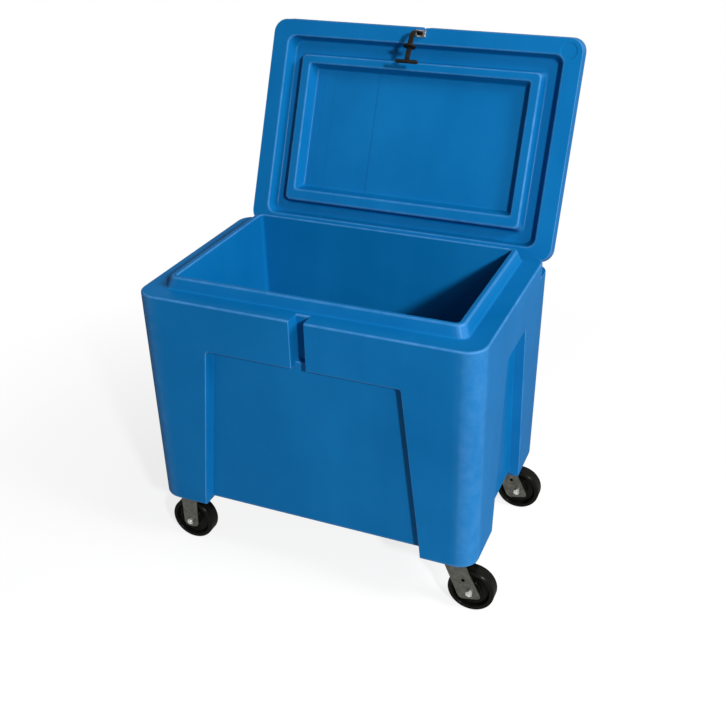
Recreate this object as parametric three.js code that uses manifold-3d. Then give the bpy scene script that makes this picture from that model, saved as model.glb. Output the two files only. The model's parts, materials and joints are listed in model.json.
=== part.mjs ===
import * as THREE from 'three';
import { mergeVertices } from 'three/addons/utils/BufferGeometryUtils.js';
import Module from 'manifold-3d';

const wasm = await Module();
wasm.setup();

// Driving sizes of the box, in millimetres, +Z up, the open front at -Y
const BOX_WIDTH = 1092;
const BOX_DEPTH = 789;
const SHELF_HEIGHT = 957;
const FOOT_BOTTOM_HEIGHT = 204;
const BASE_HEIGHT = 221;
const BOX_CORNER_RADIUS = 62;
const FRONT_DRAFT_SHARE = 0.028;
const SKIN_THICKNESS = 6;
const FIT_GAP = 0.3;
const OVERSHOOT = 4;
const SHELF_EDGE_RADIUS = 5;
const FOOT_EDGE_RADIUS = 11;
const HALF = 0.5;
const BOX_HALF_WIDTH = BOX_WIDTH * HALF;
const BOX_HALF_DEPTH = BOX_DEPTH * HALF;

// Raised rim round the opening, set in from the walls and leaning in to its top
const RIM_HEIGHT = 37;
const RIM_EDGE_RADIUS = 4;
const RIM_SIDE_MARGIN = 66;
const RIM_FRONT_MARGIN = 68.5;
const RIM_BACK_MARGIN = 106.5;
const RIM_SIDE_LEAN = 14;
const RIM_FRONT_LEAN = 11;
const RIM_BACK_LEAN = 10;
const RIM_CORNER_RADIUS = 26;
const RIM_BASE_HALF_WIDTH = BOX_HALF_WIDTH - RIM_SIDE_MARGIN;
const RIM_BASE_FRONT = RIM_FRONT_MARGIN - BOX_HALF_DEPTH;
const RIM_BASE_BACK = BOX_HALF_DEPTH - RIM_BACK_MARGIN;
const RIM_TOP_HALF_WIDTH = RIM_BASE_HALF_WIDTH - RIM_SIDE_LEAN;
const RIM_TOP_FRONT = RIM_BASE_FRONT + RIM_FRONT_LEAN;
const RIM_TOP_BACK = RIM_BASE_BACK - RIM_BACK_LEAN;

// Storage space inside, set in from the top of the rim
const RIM_SIDE_WIDTH = 18;
const RIM_END_WIDTH = 15;
const OPENING_HALF_WIDTH = RIM_TOP_HALF_WIDTH - RIM_SIDE_WIDTH;
const OPENING_FRONT = RIM_TOP_FRONT + RIM_END_WIDTH;
const OPENING_BACK = RIM_TOP_BACK - RIM_END_WIDTH;
const OPENING_CORNER_RADIUS = 12;
const FLOOR_HEIGHT = 288;
const WALL_LEAN = 24;

// Sunken wall panels between the four corner legs
const PANEL_DEPTH = 33;
const PANEL_SLOPE_RUN = 9;
const PANEL_TOP_HEIGHT = 799;
const FRONT_LEG_TOP_WIDTH = 233;
const FRONT_LEG_FOOT_WIDTH = 171;
const SIDE_LEG_TOP_WIDTH = 287.5;
const SIDE_LEG_FOOT_WIDTH = 229.5;
const FRONT_PANEL_TOP_HALF_WIDTH = BOX_HALF_WIDTH - FRONT_LEG_TOP_WIDTH;
const FRONT_PANEL_FOOT_HALF_WIDTH = BOX_HALF_WIDTH - FRONT_LEG_FOOT_WIDTH;
const SIDE_PANEL_TOP_HALF_WIDTH = BOX_HALF_DEPTH - SIDE_LEG_TOP_WIDTH;
const SIDE_PANEL_FOOT_HALF_WIDTH = BOX_HALF_DEPTH - SIDE_LEG_FOOT_WIDTH;
const FOOT_DRAFT_RUN = 5;

// Latch slot in the front band
const SLOT_MIDDLE = -4;
const SLOT_HALF_WIDTH = 24;
const SLOT_DRAFT_RUN = 1;
const SLOT_DEPTH = 50;
const SLOT_FLOOR_RISE = 10;
const SLOT_FLOOR_CORNERS = 2;
const SLOT_LEFT = SLOT_MIDDLE - SLOT_HALF_WIDTH;
const SLOT_RIGHT = SLOT_MIDDLE + SLOT_HALF_WIDTH;

// Hinge step and hinge, set down from the shelf and in from the back wall
const LEDGE_DROP = 53;
const RISER_SETBACK = 72.5;
const RISER_CORNER_RADIUS = 50;
const HINGE_SETBACK = 55.2;
const HINGE_RISE = 22.3;
const HINGE_BARREL_RADIUS = 13;
const HINGE_ROD_RADIUS = 6;
const HINGE_ROD_END_MARGIN = 26;
const LEDGE_HEIGHT = SHELF_HEIGHT - LEDGE_DROP;
const RISER_BACK = BOX_HALF_DEPTH - RISER_SETBACK;
const HINGE_BACK = BOX_HALF_DEPTH - HINGE_SETBACK;
const HINGE_HEIGHT = LEDGE_HEIGHT + HINGE_RISE;
const HINGE_ROD_HALF_LENGTH = BOX_HALF_WIDTH - HINGE_ROD_END_MARGIN;
const HINGE_CAP_RADIUS = 10;
const HINGE_CAP_THICKNESS = 5;
const BODY_KNUCKLE_SHARES = [[-0.98, -0.865], [-0.385, -0.23], [0.23, 0.385], [0.865, 0.98]];
const LID_LUG_SHARES = [[-0.858, -0.704], [-0.55, -0.392], [-0.215, 0.215], [0.392, 0.55], [0.704, 0.858]];
const KNUCKLE_ROOT_HALF = 15;
const LUG_RISER_SPACE = 1.5;

// Lid, laid out closed and then swung open
const LID_OPEN_DEGREES = 112.27;
const LID_SIDE_OVERHANG = 2;
const LID_FRONT_OVERHANG = 2.5;
const LID_BACK_SETBACK = 58.5;
const LID_SHELF_GAP = 1.5;
const LID_HALF_WIDTH = BOX_HALF_WIDTH + LID_SIDE_OVERHANG;
const LID_FRONT = -BOX_HALF_DEPTH - LID_FRONT_OVERHANG;
const LID_BACK = BOX_HALF_DEPTH - LID_BACK_SETBACK;
const LID_UNDERSIDE_HEIGHT = SHELF_HEIGHT + LID_SHELF_GAP;
const LID_THICKNESS = 76.5;
const LID_CORNER_RADIUS = 46;
const LID_UNDER_EDGE = 5;
const LID_FRONT_SLOPE_RUN = 14;
const LID_UNDER_FRONT = LID_FRONT + LID_FRONT_SLOPE_RUN;
const LID_TOP_EDGE = 16;

// Groove that drops over the rim, wider than the rim all round
const GROOVE_DEPTH = 38;
const GROOVE_SIDE_SPACE = 10;
const GROOVE_FRONT_SPACE = 2.5;
const GROOVE_BACK_SPACE = 5;
const GROOVE_ROOT_SPACE = 5;
const GROOVE_MOUTH_HALF_WIDTH = RIM_BASE_HALF_WIDTH + GROOVE_SIDE_SPACE;
const GROOVE_MOUTH_FRONT = RIM_BASE_FRONT - GROOVE_FRONT_SPACE;
const GROOVE_MOUTH_BACK = RIM_BASE_BACK + GROOVE_BACK_SPACE;
const GROOVE_ROOT_HALF_WIDTH = RIM_TOP_HALF_WIDTH + GROOVE_ROOT_SPACE;
const GROOVE_ROOT_FRONT = RIM_TOP_FRONT - GROOVE_ROOT_SPACE;
const GROOVE_ROOT_BACK = RIM_TOP_BACK + GROOVE_ROOT_SPACE;
const GROOVE_CORNER_RADIUS = 30;

// Plug that goes into the storage space, narrower than its mouth, and the pan inside it
const PLUG_SIDE_SPACE = 13;
const PLUG_FRONT_SPACE = 25;
const PLUG_BACK_SPACE = 16;
const PLUG_SIDE_TAPER = 8.5;
const PLUG_END_TAPER = 8;
const PLUG_ROOT_HALF_WIDTH = OPENING_HALF_WIDTH - PLUG_SIDE_SPACE;
const PLUG_ROOT_FRONT = OPENING_FRONT + PLUG_FRONT_SPACE;
const PLUG_ROOT_BACK = OPENING_BACK - PLUG_BACK_SPACE;
const PLUG_TIP_HALF_WIDTH = PLUG_ROOT_HALF_WIDTH - PLUG_SIDE_TAPER;
const PLUG_TIP_FRONT = PLUG_ROOT_FRONT + PLUG_END_TAPER;
const PLUG_TIP_BACK = PLUG_ROOT_BACK - PLUG_END_TAPER;
const PLUG_CORNER_RADIUS = 16;
const PAN_SIDE_BAND = 31;
const PAN_FRONT_BAND = 27.5;
const PAN_BACK_BAND = 38;
const PAN_SIDE_TAPER = 18.5;
const PAN_FRONT_TAPER = 13.5;
const PAN_BACK_TAPER = 17;
const PAN_MOUTH_HALF_WIDTH = PLUG_TIP_HALF_WIDTH - PAN_SIDE_BAND;
const PAN_MOUTH_FRONT = PLUG_TIP_FRONT + PAN_FRONT_BAND;
const PAN_MOUTH_BACK = PLUG_TIP_BACK - PAN_BACK_BAND;
const PAN_ROOT_HALF_WIDTH = PAN_MOUTH_HALF_WIDTH - PAN_SIDE_TAPER;
const PAN_ROOT_FRONT = PAN_MOUTH_FRONT + PAN_FRONT_TAPER;
const PAN_ROOT_BACK = PAN_MOUTH_BACK - PAN_BACK_TAPER;
const PAN_DEPTH = 39;
const PAN_CORNER_RADIUS = 10;
const CROWN_RECESS_DEPTH = 6;
const CROWN_BAND_WIDTH = 78;
const CROWN_SLOPE_RUN = 8;
const NOTCH_HALF_WIDTH = 12;
const NOTCH_DEPTH = 15;
const DIMPLE_RADIUS = 28;
const DIMPLE_DEPTH = 2;
const DIMPLE_SIDE_MARGIN = 46;
const DIMPLE_FRONT_MARGIN = 42;
const DIMPLE_SIDE = LID_HALF_WIDTH - DIMPLE_SIDE_MARGIN;
const DIMPLE_FRONT = LID_UNDER_FRONT + DIMPLE_FRONT_MARGIN;

// Foam filling holes and their plugs, whose flanges are let into the skin
const FILL_HOLE_RADIUS = 20;
const FILL_PLUG_FLANGE_RADIUS = 27;
const FILL_PLUG_FLANGE_THICKNESS = 3;
const FILL_PLUG_STEM_LENGTH = 2.2;
const LID_FILL_HOLE_MARGIN = 136;
const LID_FILL_HOLE_BACK = LID_BACK - LID_FILL_HOLE_MARGIN;

// Rubber pull latch
const CLIP_HALF_WIDTH = 16;
const CLIP_SHEET = 2;
const CLIP_FRONT_MARGIN = 9;
const CLIP_LENGTH = 22;
const CLIP_FRONT = LID_UNDER_FRONT + CLIP_FRONT_MARGIN;
const CLIP_BACK = CLIP_FRONT + CLIP_LENGTH;
const CLIP_EAR_HEIGHT = 19;
const CLIP_EAR_HALF_GAP = 11;
const CLIP_SCREW_RADIUS = 2.2;
const CLIP_SCREW_LENGTH = 14;
const CLIP_SCREW_HEAD_RADIUS = 3.6;
const CLIP_SCREW_HEAD_HEIGHT = 2.2;
const CLIP_SCREW_SIDE = 5.5;
const PIN_RADIUS = 2.5;
const PIN_HALF_LENGTH = 15;
const PIN_DROP = 13;
const PIN_FRONT = (CLIP_FRONT + CLIP_BACK) * HALF;
const STRAP_WIDTH = 17;
const STRAP_THICKNESS = 6;
const STRAP_LOOP_RADIUS = 6;
const STRAP_REACH = 98;
const STRAP_FALL = 112;
const STRAP_PATH_SHARES = [
  [0, 0],
  [0.22, 0.005],
  [0.496, 0.03],
  [0.727, 0.114],
  [0.838, 0.289],
  [0.898, 0.55],
  [0.937, 0.747],
  [1, 1],
];
const COLLAR_RADIUS = 22;
const COLLAR_THICKNESS = 8;
const COLLAR_PATH_STEPS = 5;
const HANDLE_RADIUS = 6.5;
const HANDLE_HALF_LENGTH = 38;

// Casters
const WHEEL_RADIUS = 76.2;
const WHEEL_WIDTH = 50.8;
const WHEEL_SHOULDER = 5;
const WHEEL_FACE_RADIUS = 62;
const WHEEL_DISH_RADIUS = 55;
const WHEEL_WEB_THICKNESS = 16;
const WHEEL_HUB_RADIUS = 23;
const WHEEL_HUB_FOOT_RADIUS = 27;
const WHEEL_HUB_LENGTH = 52;
const SLEEVE_RADIUS = 12;
const AXLE_RADIUS = 6.35;
const AXLE_HEAD_RADIUS = 11;
const AXLE_HEAD_HEIGHT = 8;
const AXLE_NUT_HEIGHT = 9;
const AXLE_END_LENGTH = 3;
const FORK_SHEET = 4;
const FORK_CLEAR = 3;
const RIGID_LEG_TOP_HALF_WIDTH = 30;
const RIGID_LEG_END_HALF_WIDTH = 26;
const RIGID_LEG_END_DROP = 24;
const RIGID_LEG_CORNER_REACH = 22;
const SWIVEL_LEG_TOP_FRONT = 36;
const SWIVEL_LEG_TOP_BACK = 35;
const SWIVEL_LEG_END_FRONT = 33;
const SWIVEL_LEG_END_FRONT_DROP = 32;
const SWIVEL_LEG_END_BACK = 40;
const SWIVEL_LEG_END_BACK_DROP = 17;
const SWIVEL_LEG_CORNER_REACH = 17;
const LEG_HOLE_RADIUS = 6.2;
const LEG_HOLE_SHARE = 0.4;
const PLATE_LENGTH = 102;
const PLATE_WIDTH = 114;
const PLATE_THICKNESS = 4.8;
const PLATE_CORNER_RADIUS = 9;
const PLATE_BOLT_ALONG = 38;
const PLATE_BOLT_ACROSS = 44.5;
const PLATE_BOLT_RADIUS = 4.7;
const PLATE_BOLT_LENGTH = 36;
const PLATE_BOLT_HEAD_RADIUS = 8.5;
const PLATE_BOLT_HEAD_HEIGHT = 6;
const CASTER_END_MARGIN = 105;
const RIGID_WHEEL_MARGIN = 70;
const SWIVEL_PIVOT_MARGIN = 78;
const CASTER_ACROSS = BOX_HALF_DEPTH - CASTER_END_MARGIN;
const RIGID_WHEEL_X = RIGID_WHEEL_MARGIN - BOX_HALF_WIDTH;
const SWIVEL_PIVOT_X = BOX_HALF_WIDTH - SWIVEL_PIVOT_MARGIN;
const SWIVEL_TRAIL = 56.4;
const RACE_RADIUS = 40;
const RACE_HEIGHT = 8;
const BALL_RING_RADIUS = 43;
const BALL_RING_HEIGHT = 6;
const CROWN_PLATE_RADIUS = 39;
const KING_PIN_RADIUS = 8;
const KING_PIN_NUT_RADIUS = 14;
const KING_PIN_NUT_HEIGHT = 8;

// Facet counts
const CORNER_STEPS = 5;
const TIGHT_CORNER_STEPS = 2;
const ROUND_STEPS = 16;
const SMALL_ROUND_STEPS = 12;
const WHEEL_STEPS = 32;
const HEX_STEPS = 6;
const WELD_SHARE = 0.00001;

// Worked out from the sizes above
const RIM_TOP_HEIGHT = SHELF_HEIGHT + RIM_HEIGHT;
const WHEEL_HALF_WIDTH = WHEEL_WIDTH * HALF;
const FORK_INNER_HALF = WHEEL_HALF_WIDTH + FORK_CLEAR;
const FORK_OUTER_HALF = FORK_INNER_HALF + FORK_SHEET;
const PLATE_TOP_HEIGHT = FOOT_BOTTOM_HEIGHT - FIT_GAP;
const PLATE_UNDER_HEIGHT = PLATE_TOP_HEIGHT - PLATE_THICKNESS;

// Solids from three.js geometry
function solidOf(geometry) {
  const bare = geometry.clone();
  bare.deleteAttribute('normal');
  bare.deleteAttribute('uv');
  const welded = mergeVertices(bare, BOX_WIDTH * WELD_SHARE);
  const mesh = new wasm.Mesh({
    numProp: 3,
    vertProperties: Float32Array.from(welded.attributes.position.array),
    triVerts: Uint32Array.from(welded.index.array),
  });
  return new wasm.Manifold(mesh);
}

function geometryOf(solid) {
  const mesh = solid.getMesh();
  const geometry = new THREE.BufferGeometry();
  geometry.setAttribute('position', new THREE.Float32BufferAttribute(mesh.vertProperties, 3));
  geometry.setIndex(Array.from(mesh.triVerts));
  return geometry;
}

// A closed skin over a stack of rings that all have the same number of points
function loft(rings) {
  const count = rings[0].length;
  const index = [];
  for (let level = 0; level + 1 < rings.length; level += 1) {
    for (let step = 0; step < count; step += 1) {
      const here = level * count + step;
      const next = level * count + (step + 1) % count;
      index.push(here, next, next + count, here, next + count, here + count);
    }
  }
  const last = (rings.length - 1) * count;
  for (let step = 1; step + 1 < count; step += 1) {
    index.push(0, step + 1, step, last, last + step, last + step + 1);
  }
  const points = rings.flat();
  const volume = signedVolume(points, index);
  if (volume < 0) index.reverse();
  const geometry = new THREE.BufferGeometry();
  geometry.setAttribute('position', new THREE.Float32BufferAttribute(points.flat(), 3));
  geometry.setIndex(index);
  return solidOf(geometry);
}

function signedVolume(points, index) {
  let total = 0;
  for (let corner = 0; corner < index.length; corner += 3) {
    const [a, b, c] = [0, 1, 2].map((k) => new THREE.Vector3(...points[index[corner + k]]));
    total += a.dot(b.cross(c));
  }
  return total;
}

// A rounded rectangle at one height, grown outwards by `grow`
function ringAt(frame, height, grow, steps) {
  const radius = Math.max(frame.radius + grow, FIT_GAP);
  const points = [];
  const corners = [
    [frame.right + grow - radius, frame.back + grow - radius, 0],
    [frame.left - grow + radius, frame.back + grow - radius, 1],
    [frame.left - grow + radius, frame.front - grow + radius, 2],
    [frame.right + grow - radius, frame.front - grow + radius, 3],
  ];
  for (const [x, y, quarter] of corners) {
    for (let step = 0; step <= steps; step += 1) {
      const angle = (quarter + step / steps) * Math.PI * HALF;
      points.push([x + radius * Math.cos(angle), y + radius * Math.sin(angle), height]);
    }
  }
  return points;
}

function frameOf(halfWidth, front, back, radius) {
  return { left: -halfWidth, right: halfWidth, front, back, radius };
}

// A flat outline pulled along one axis from one place to another
function prism(outline, axis, start, end) {
  const shape = new THREE.Shape(outline.map(([u, v]) => new THREE.Vector2(u, v)));
  const geometry = new THREE.ExtrudeGeometry(shape, { depth: end - start, bevelEnabled: false });
  geometry.translate(0, 0, start);
  const turn = new THREE.Matrix4();
  const [x, y, z] = [new THREE.Vector3(1, 0, 0), new THREE.Vector3(0, 1, 0), new THREE.Vector3(0, 0, 1)];
  if (axis === 'x') turn.makeBasis(y, z, x);
  if (axis === 'y') turn.makeBasis(z, x, y);
  geometry.applyMatrix4(turn);
  return solidOf(geometry);
}

function box(x0, x1, y0, y1, z0, z1) {
  return prism([[x0, y0], [x1, y0], [x1, y1], [x0, y1]], 'z', z0, z1);
}

function circle(u, v, radius, steps) {
  const points = [];
  for (let step = 0; step < steps; step += 1) {
    const angle = (step / steps) * Math.PI * 2;
    points.push([u + radius * Math.cos(angle), v + radius * Math.sin(angle)]);
  }
  return points;
}

function rod(axis, u, v, radius, start, end, steps = SMALL_ROUND_STEPS) {
  return prism(circle(u, v, radius, steps), axis, start, end);
}

function joined(solids) {
  return solids.reduce((whole, part) => whole.add(part));
}

function ordered(one, other) {
  return one < other ? [one, other] : [other, one];
}

// Outer wall of the box at one height
function faceHalfDepth(height) {
  return BOX_HALF_DEPTH - FRONT_DRAFT_SHARE * (SHELF_HEIGHT - height);
}

function boxFrame(height) {
  const half = faceHalfDepth(height);
  return frameOf(BOX_HALF_WIDTH, -half, half, BOX_CORNER_RADIUS);
}

function boxBlank(inset) {
  const rounded = [
    [FOOT_BOTTOM_HEIGHT + inset, -FOOT_EDGE_RADIUS * HALF],
    [FOOT_BOTTOM_HEIGHT + inset + FOOT_EDGE_RADIUS * HALF, -FOOT_EDGE_RADIUS * HALF * HALF * HALF],
    [FOOT_BOTTOM_HEIGHT + inset + FOOT_EDGE_RADIUS, 0],
    [SHELF_HEIGHT - inset - SHELF_EDGE_RADIUS, 0],
    [SHELF_HEIGHT - inset, -SHELF_EDGE_RADIUS * HALF],
  ];
  return loft(rounded.map(([height, edge]) => (
    ringAt(boxFrame(height), height, edge - inset, CORNER_STEPS)
  )));
}

function rimBlank(inset) {
  const base = frameOf(RIM_BASE_HALF_WIDTH, RIM_BASE_FRONT, RIM_BASE_BACK, RIM_CORNER_RADIUS);
  const top = frameOf(RIM_TOP_HALF_WIDTH, RIM_TOP_FRONT, RIM_TOP_BACK, RIM_CORNER_RADIUS);
  const under = SHELF_HEIGHT - inset - SKIN_THICKNESS;
  return loft([
    ringAt(base, under, -inset, CORNER_STEPS),
    ringAt(base, SHELF_HEIGHT - inset, -inset, CORNER_STEPS),
    ringAt(top, RIM_TOP_HEIGHT - RIM_EDGE_RADIUS - inset, -inset, CORNER_STEPS),
    ringAt(top, RIM_TOP_HEIGHT - inset, -inset - RIM_EDGE_RADIUS * HALF, CORNER_STEPS),
  ]);
}

function storageSpace(grow) {
  const mouth = frameOf(OPENING_HALF_WIDTH, OPENING_FRONT, OPENING_BACK, OPENING_CORNER_RADIUS);
  const floor = frameOf(
    OPENING_HALF_WIDTH - WALL_LEAN,
    OPENING_FRONT + WALL_LEAN,
    OPENING_BACK - WALL_LEAN,
    OPENING_CORNER_RADIUS,
  );
  return loft([
    ringAt(floor, FLOOR_HEIGHT - grow, grow - OPENING_CORNER_RADIUS * HALF, TIGHT_CORNER_STEPS),
    ringAt(floor, FLOOR_HEIGHT - grow + OPENING_CORNER_RADIUS, grow, TIGHT_CORNER_STEPS),
    ringAt(mouth, RIM_TOP_HEIGHT + OVERSHOOT, grow, TIGHT_CORNER_STEPS),
  ]);
}

// A tapered pocket sunk into a wall; `place` turns wall coordinates into a point
function pocket(outline, depth, run, grow, place) {
  const low = outline[0][1];
  const ring = (sink, narrow) => outline.map(([u, height]) => {
    const drop = height > low ? narrow : 0;
    return place(u + Math.sign(u) * (grow - narrow), height - drop, sink);
  });
  const rate = run / depth;
  return loft([ring(-OVERSHOOT, -OVERSHOOT * rate), ring(depth + grow, run + grow * rate)]);
}

function panelOutline(topHalf, footHalf, grow) {
  const lean = (footHalf - topHalf) / (PANEL_TOP_HEIGHT - BASE_HEIGHT);
  const low = FOOT_BOTTOM_HEIGHT - OVERSHOOT;
  const lowHalf = footHalf + lean * (BASE_HEIGHT - low);
  const top = PANEL_TOP_HEIGHT + grow;
  return [[-lowHalf, low], [lowHalf, low], [topHalf, top], [-topHalf, top]];
}

function wallPockets(grow) {
  const front = panelOutline(FRONT_PANEL_TOP_HALF_WIDTH, FRONT_PANEL_FOOT_HALF_WIDTH, grow);
  const side = panelOutline(SIDE_PANEL_TOP_HALF_WIDTH, SIDE_PANEL_FOOT_HALF_WIDTH, grow);
  const slot = [
    [SLOT_LEFT, PANEL_TOP_HEIGHT - PANEL_DEPTH],
    [SLOT_RIGHT, PANEL_TOP_HEIGHT - PANEL_DEPTH],
    [SLOT_RIGHT, SHELF_HEIGHT + OVERSHOOT],
    [SLOT_LEFT, SHELF_HEIGHT + OVERSHOOT],
  ];
  const slotFloor = PANEL_TOP_HEIGHT + SLOT_FLOOR_RISE - grow;
  const deepSlot = slot.map(([u, height], corner) => [u, corner < SLOT_FLOOR_CORNERS ? slotFloor : height]);
  const onFront = (u, height, sink) => [u, -faceHalfDepth(height) + sink, height];
  const onBack = (u, height, sink) => [u, faceHalfDepth(height) - sink, height];
  const onRight = (u, height, sink) => [BOX_HALF_WIDTH - sink, u, height];
  const onLeft = (u, height, sink) => [sink - BOX_HALF_WIDTH, u, height];
  return joined([
    pocket(front, PANEL_DEPTH, PANEL_SLOPE_RUN, grow, onFront),
    pocket(front, PANEL_DEPTH, PANEL_SLOPE_RUN, grow, onBack),
    pocket(side, PANEL_DEPTH, PANEL_SLOPE_RUN, grow, onRight),
    pocket(side, PANEL_DEPTH, PANEL_SLOPE_RUN, grow, onLeft),
    pocket(slot, PANEL_DEPTH, SLOT_DRAFT_RUN, grow, onFront),
    pocket(deepSlot, SLOT_DEPTH, SLOT_DRAFT_RUN, grow, onFront),
  ]);
}

// The two channels under the box that leave the four feet standing
function footChannels(grow) {
  const section = (half) => {
    const low = FOOT_BOTTOM_HEIGHT - OVERSHOOT;
    const reach = half + grow;
    return [[-reach - FOOT_DRAFT_RUN, low], [reach + FOOT_DRAFT_RUN, low], [reach, BASE_HEIGHT + grow],
      [-reach, BASE_HEIGHT + grow]];
  };
  const between = section(FRONT_PANEL_FOOT_HALF_WIDTH).map(([x, z]) => [z, x]).reverse();
  const lengthwise = prism(between, 'y', -BOX_DEPTH, BOX_DEPTH);
  const crosswise = prism(section(SIDE_PANEL_FOOT_HALF_WIDTH), 'x', -BOX_WIDTH, BOX_WIDTH);
  return lengthwise.add(crosswise);
}

// The step along the back that makes room for the hinge
function hingeStep(grow) {
  const raised = frameOf(BOX_HALF_WIDTH + OVERSHOOT, -BOX_DEPTH, RISER_BACK - grow, RISER_CORNER_RADIUS);
  const low = LEDGE_HEIGHT - grow;
  const high = SHELF_HEIGHT + OVERSHOOT;
  const cut = box(-BOX_WIDTH, BOX_WIDTH, OPENING_BACK - PANEL_DEPTH, BOX_DEPTH, low, high);
  const keep = loft([
    ringAt(raised, low - OVERSHOOT, 0, CORNER_STEPS),
    ringAt(raised, high + OVERSHOOT, 0, CORNER_STEPS),
  ]);
  return cut.subtract(keep);
}

function bodyMass(inset) {
  const blank = boxBlank(inset).subtract(hingeStep(inset)).add(rimBlank(inset));
  return blank.subtract(wallPockets(inset)).subtract(footChannels(inset)).subtract(storageSpace(inset));
}

// One outline pulled along the hinge between each pair of shares of its half length
function alongHinge(outline, shares) {
  return joined(shares.map(([start, end]) => (
    prism(outline, 'x', start * HINGE_ROD_HALF_LENGTH, end * HINGE_ROD_HALF_LENGTH)
  )));
}

function bodyKnuckles() {
  const side = HINGE_BARREL_RADIUS;
  const outline = [
    [HINGE_BACK - KNUCKLE_ROOT_HALF, LEDGE_HEIGHT - OVERSHOOT],
    [HINGE_BACK + KNUCKLE_ROOT_HALF, LEDGE_HEIGHT - OVERSHOOT],
    [HINGE_BACK + side, HINGE_HEIGHT],
    ...circle(HINGE_BACK, HINGE_HEIGHT, side, ROUND_STEPS).slice(1, ROUND_STEPS * HALF),
    [HINGE_BACK - side, HINGE_HEIGHT],
  ];
  return alongHinge(outline, BODY_KNUCKLE_SHARES);
}

function rodHole() {
  const reach = HINGE_ROD_HALF_LENGTH + OVERSHOOT;
  return rod('x', HINGE_BACK, HINGE_HEIGHT, HINGE_ROD_RADIUS + FIT_GAP, -reach, reach);
}

// Centres of the four casters: [name, pivot x, y, swivels]
function casters() {
  return [
    ['front_left', RIGID_WHEEL_X, -CASTER_ACROSS, false],
    ['back_left', RIGID_WHEEL_X, CASTER_ACROSS, false],
    ['front_right', SWIVEL_PIVOT_X, -CASTER_ACROSS, true],
    ['back_right', SWIVEL_PIVOT_X, CASTER_ACROSS, true],
  ];
}

function plateBoltSpots(x, y) {
  return [[-1, -1], [1, -1], [1, 1], [-1, 1]].map(([a, b]) => [
    x + a * PLATE_BOLT_ALONG,
    y + b * PLATE_BOLT_ACROSS,
  ]);
}

function plateBoltHoles() {
  const top = PLATE_UNDER_HEIGHT + PLATE_BOLT_LENGTH + FIT_GAP;
  const holes = casters().flatMap(([, x, y]) => plateBoltSpots(x, y)).map(([x, y]) => rod(
    'z', x, y, PLATE_BOLT_RADIUS + FIT_GAP, PLATE_UNDER_HEIGHT - OVERSHOOT, top,
  ));
  return joined(holes);
}

// A hole through the skin, sunk round its mouth so that the flange of a plug lies flush
function fillHole(back, face, outward) {
  const outside = face + outward * OVERSHOOT;
  const sunk = ordered(outside, face - outward * (FILL_PLUG_FLANGE_THICKNESS + FIT_GAP + FIT_GAP));
  const through = ordered(outside, face - outward * (SKIN_THICKNESS + OVERSHOOT));
  const seat = rod('z', 0, back, FILL_PLUG_FLANGE_RADIUS + FIT_GAP, ...sunk, ROUND_STEPS);
  return seat.add(rod('z', 0, back, FILL_HOLE_RADIUS + FIT_GAP, ...through, ROUND_STEPS));
}

function bodyShell() {
  const skin = bodyMass(0).add(bodyKnuckles()).subtract(bodyMass(SKIN_THICKNESS));
  const drilled = skin.subtract(rodHole()).subtract(plateBoltHoles());
  return drilled.subtract(fillHole(0, BASE_HEIGHT, -1));
}

function bodyFoam() {
  return bodyMass(SKIN_THICKNESS + FIT_GAP).subtract(plateBoltHoles());
}

// A plug with its flange just inside the face and its stem in the hole
function fillPlug(back, face, outward) {
  const top = face - outward * FIT_GAP;
  const seat = top - outward * FILL_PLUG_FLANGE_THICKNESS;
  const middle = (top + seat) * HALF;
  const stemEnds = ordered(middle, seat - outward * FILL_PLUG_STEM_LENGTH);
  const flange = rod('z', 0, back, FILL_PLUG_FLANGE_RADIUS, ...ordered(top, seat), ROUND_STEPS);
  return flange.add(rod('z', 0, back, FILL_HOLE_RADIUS, ...stemEnds, ROUND_STEPS));
}

function bodyFillPlug() {
  return fillPlug(0, BASE_HEIGHT, -1);
}

// Lid, drawn closed
function lidFrame() {
  return frameOf(LID_HALF_WIDTH, LID_FRONT, LID_BACK, LID_CORNER_RADIUS);
}

function lidUnderFrame() {
  return frameOf(LID_HALF_WIDTH, LID_UNDER_FRONT, LID_BACK, LID_CORNER_RADIUS);
}

function lidBlank(inset) {
  const low = LID_UNDERSIDE_HEIGHT + inset;
  const high = LID_UNDERSIDE_HEIGHT + LID_THICKNESS - inset;
  const levels = [
    [lidUnderFrame(), low, -LID_UNDER_EDGE],
    [lidUnderFrame(), low + LID_UNDER_EDGE, 0],
    [lidFrame(), high - LID_TOP_EDGE, 0],
    [lidFrame(), high - LID_TOP_EDGE * HALF * HALF, -LID_TOP_EDGE * HALF * HALF],
    [lidFrame(), high, -LID_TOP_EDGE],
  ];
  return loft(levels.map(([frame, height, edge]) => ringAt(frame, height, edge - inset, CORNER_STEPS)));
}

function sunk(mouth, root, depth, grow, steps) {
  const mouthRing = ringAt(mouth, LID_UNDERSIDE_HEIGHT, grow, steps);
  const below = mouthRing.map(([x, y, z]) => [x, y, z - OVERSHOOT]);
  return loft([below, mouthRing, ringAt(root, LID_UNDERSIDE_HEIGHT + depth + grow, grow, steps)]);
}

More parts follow.
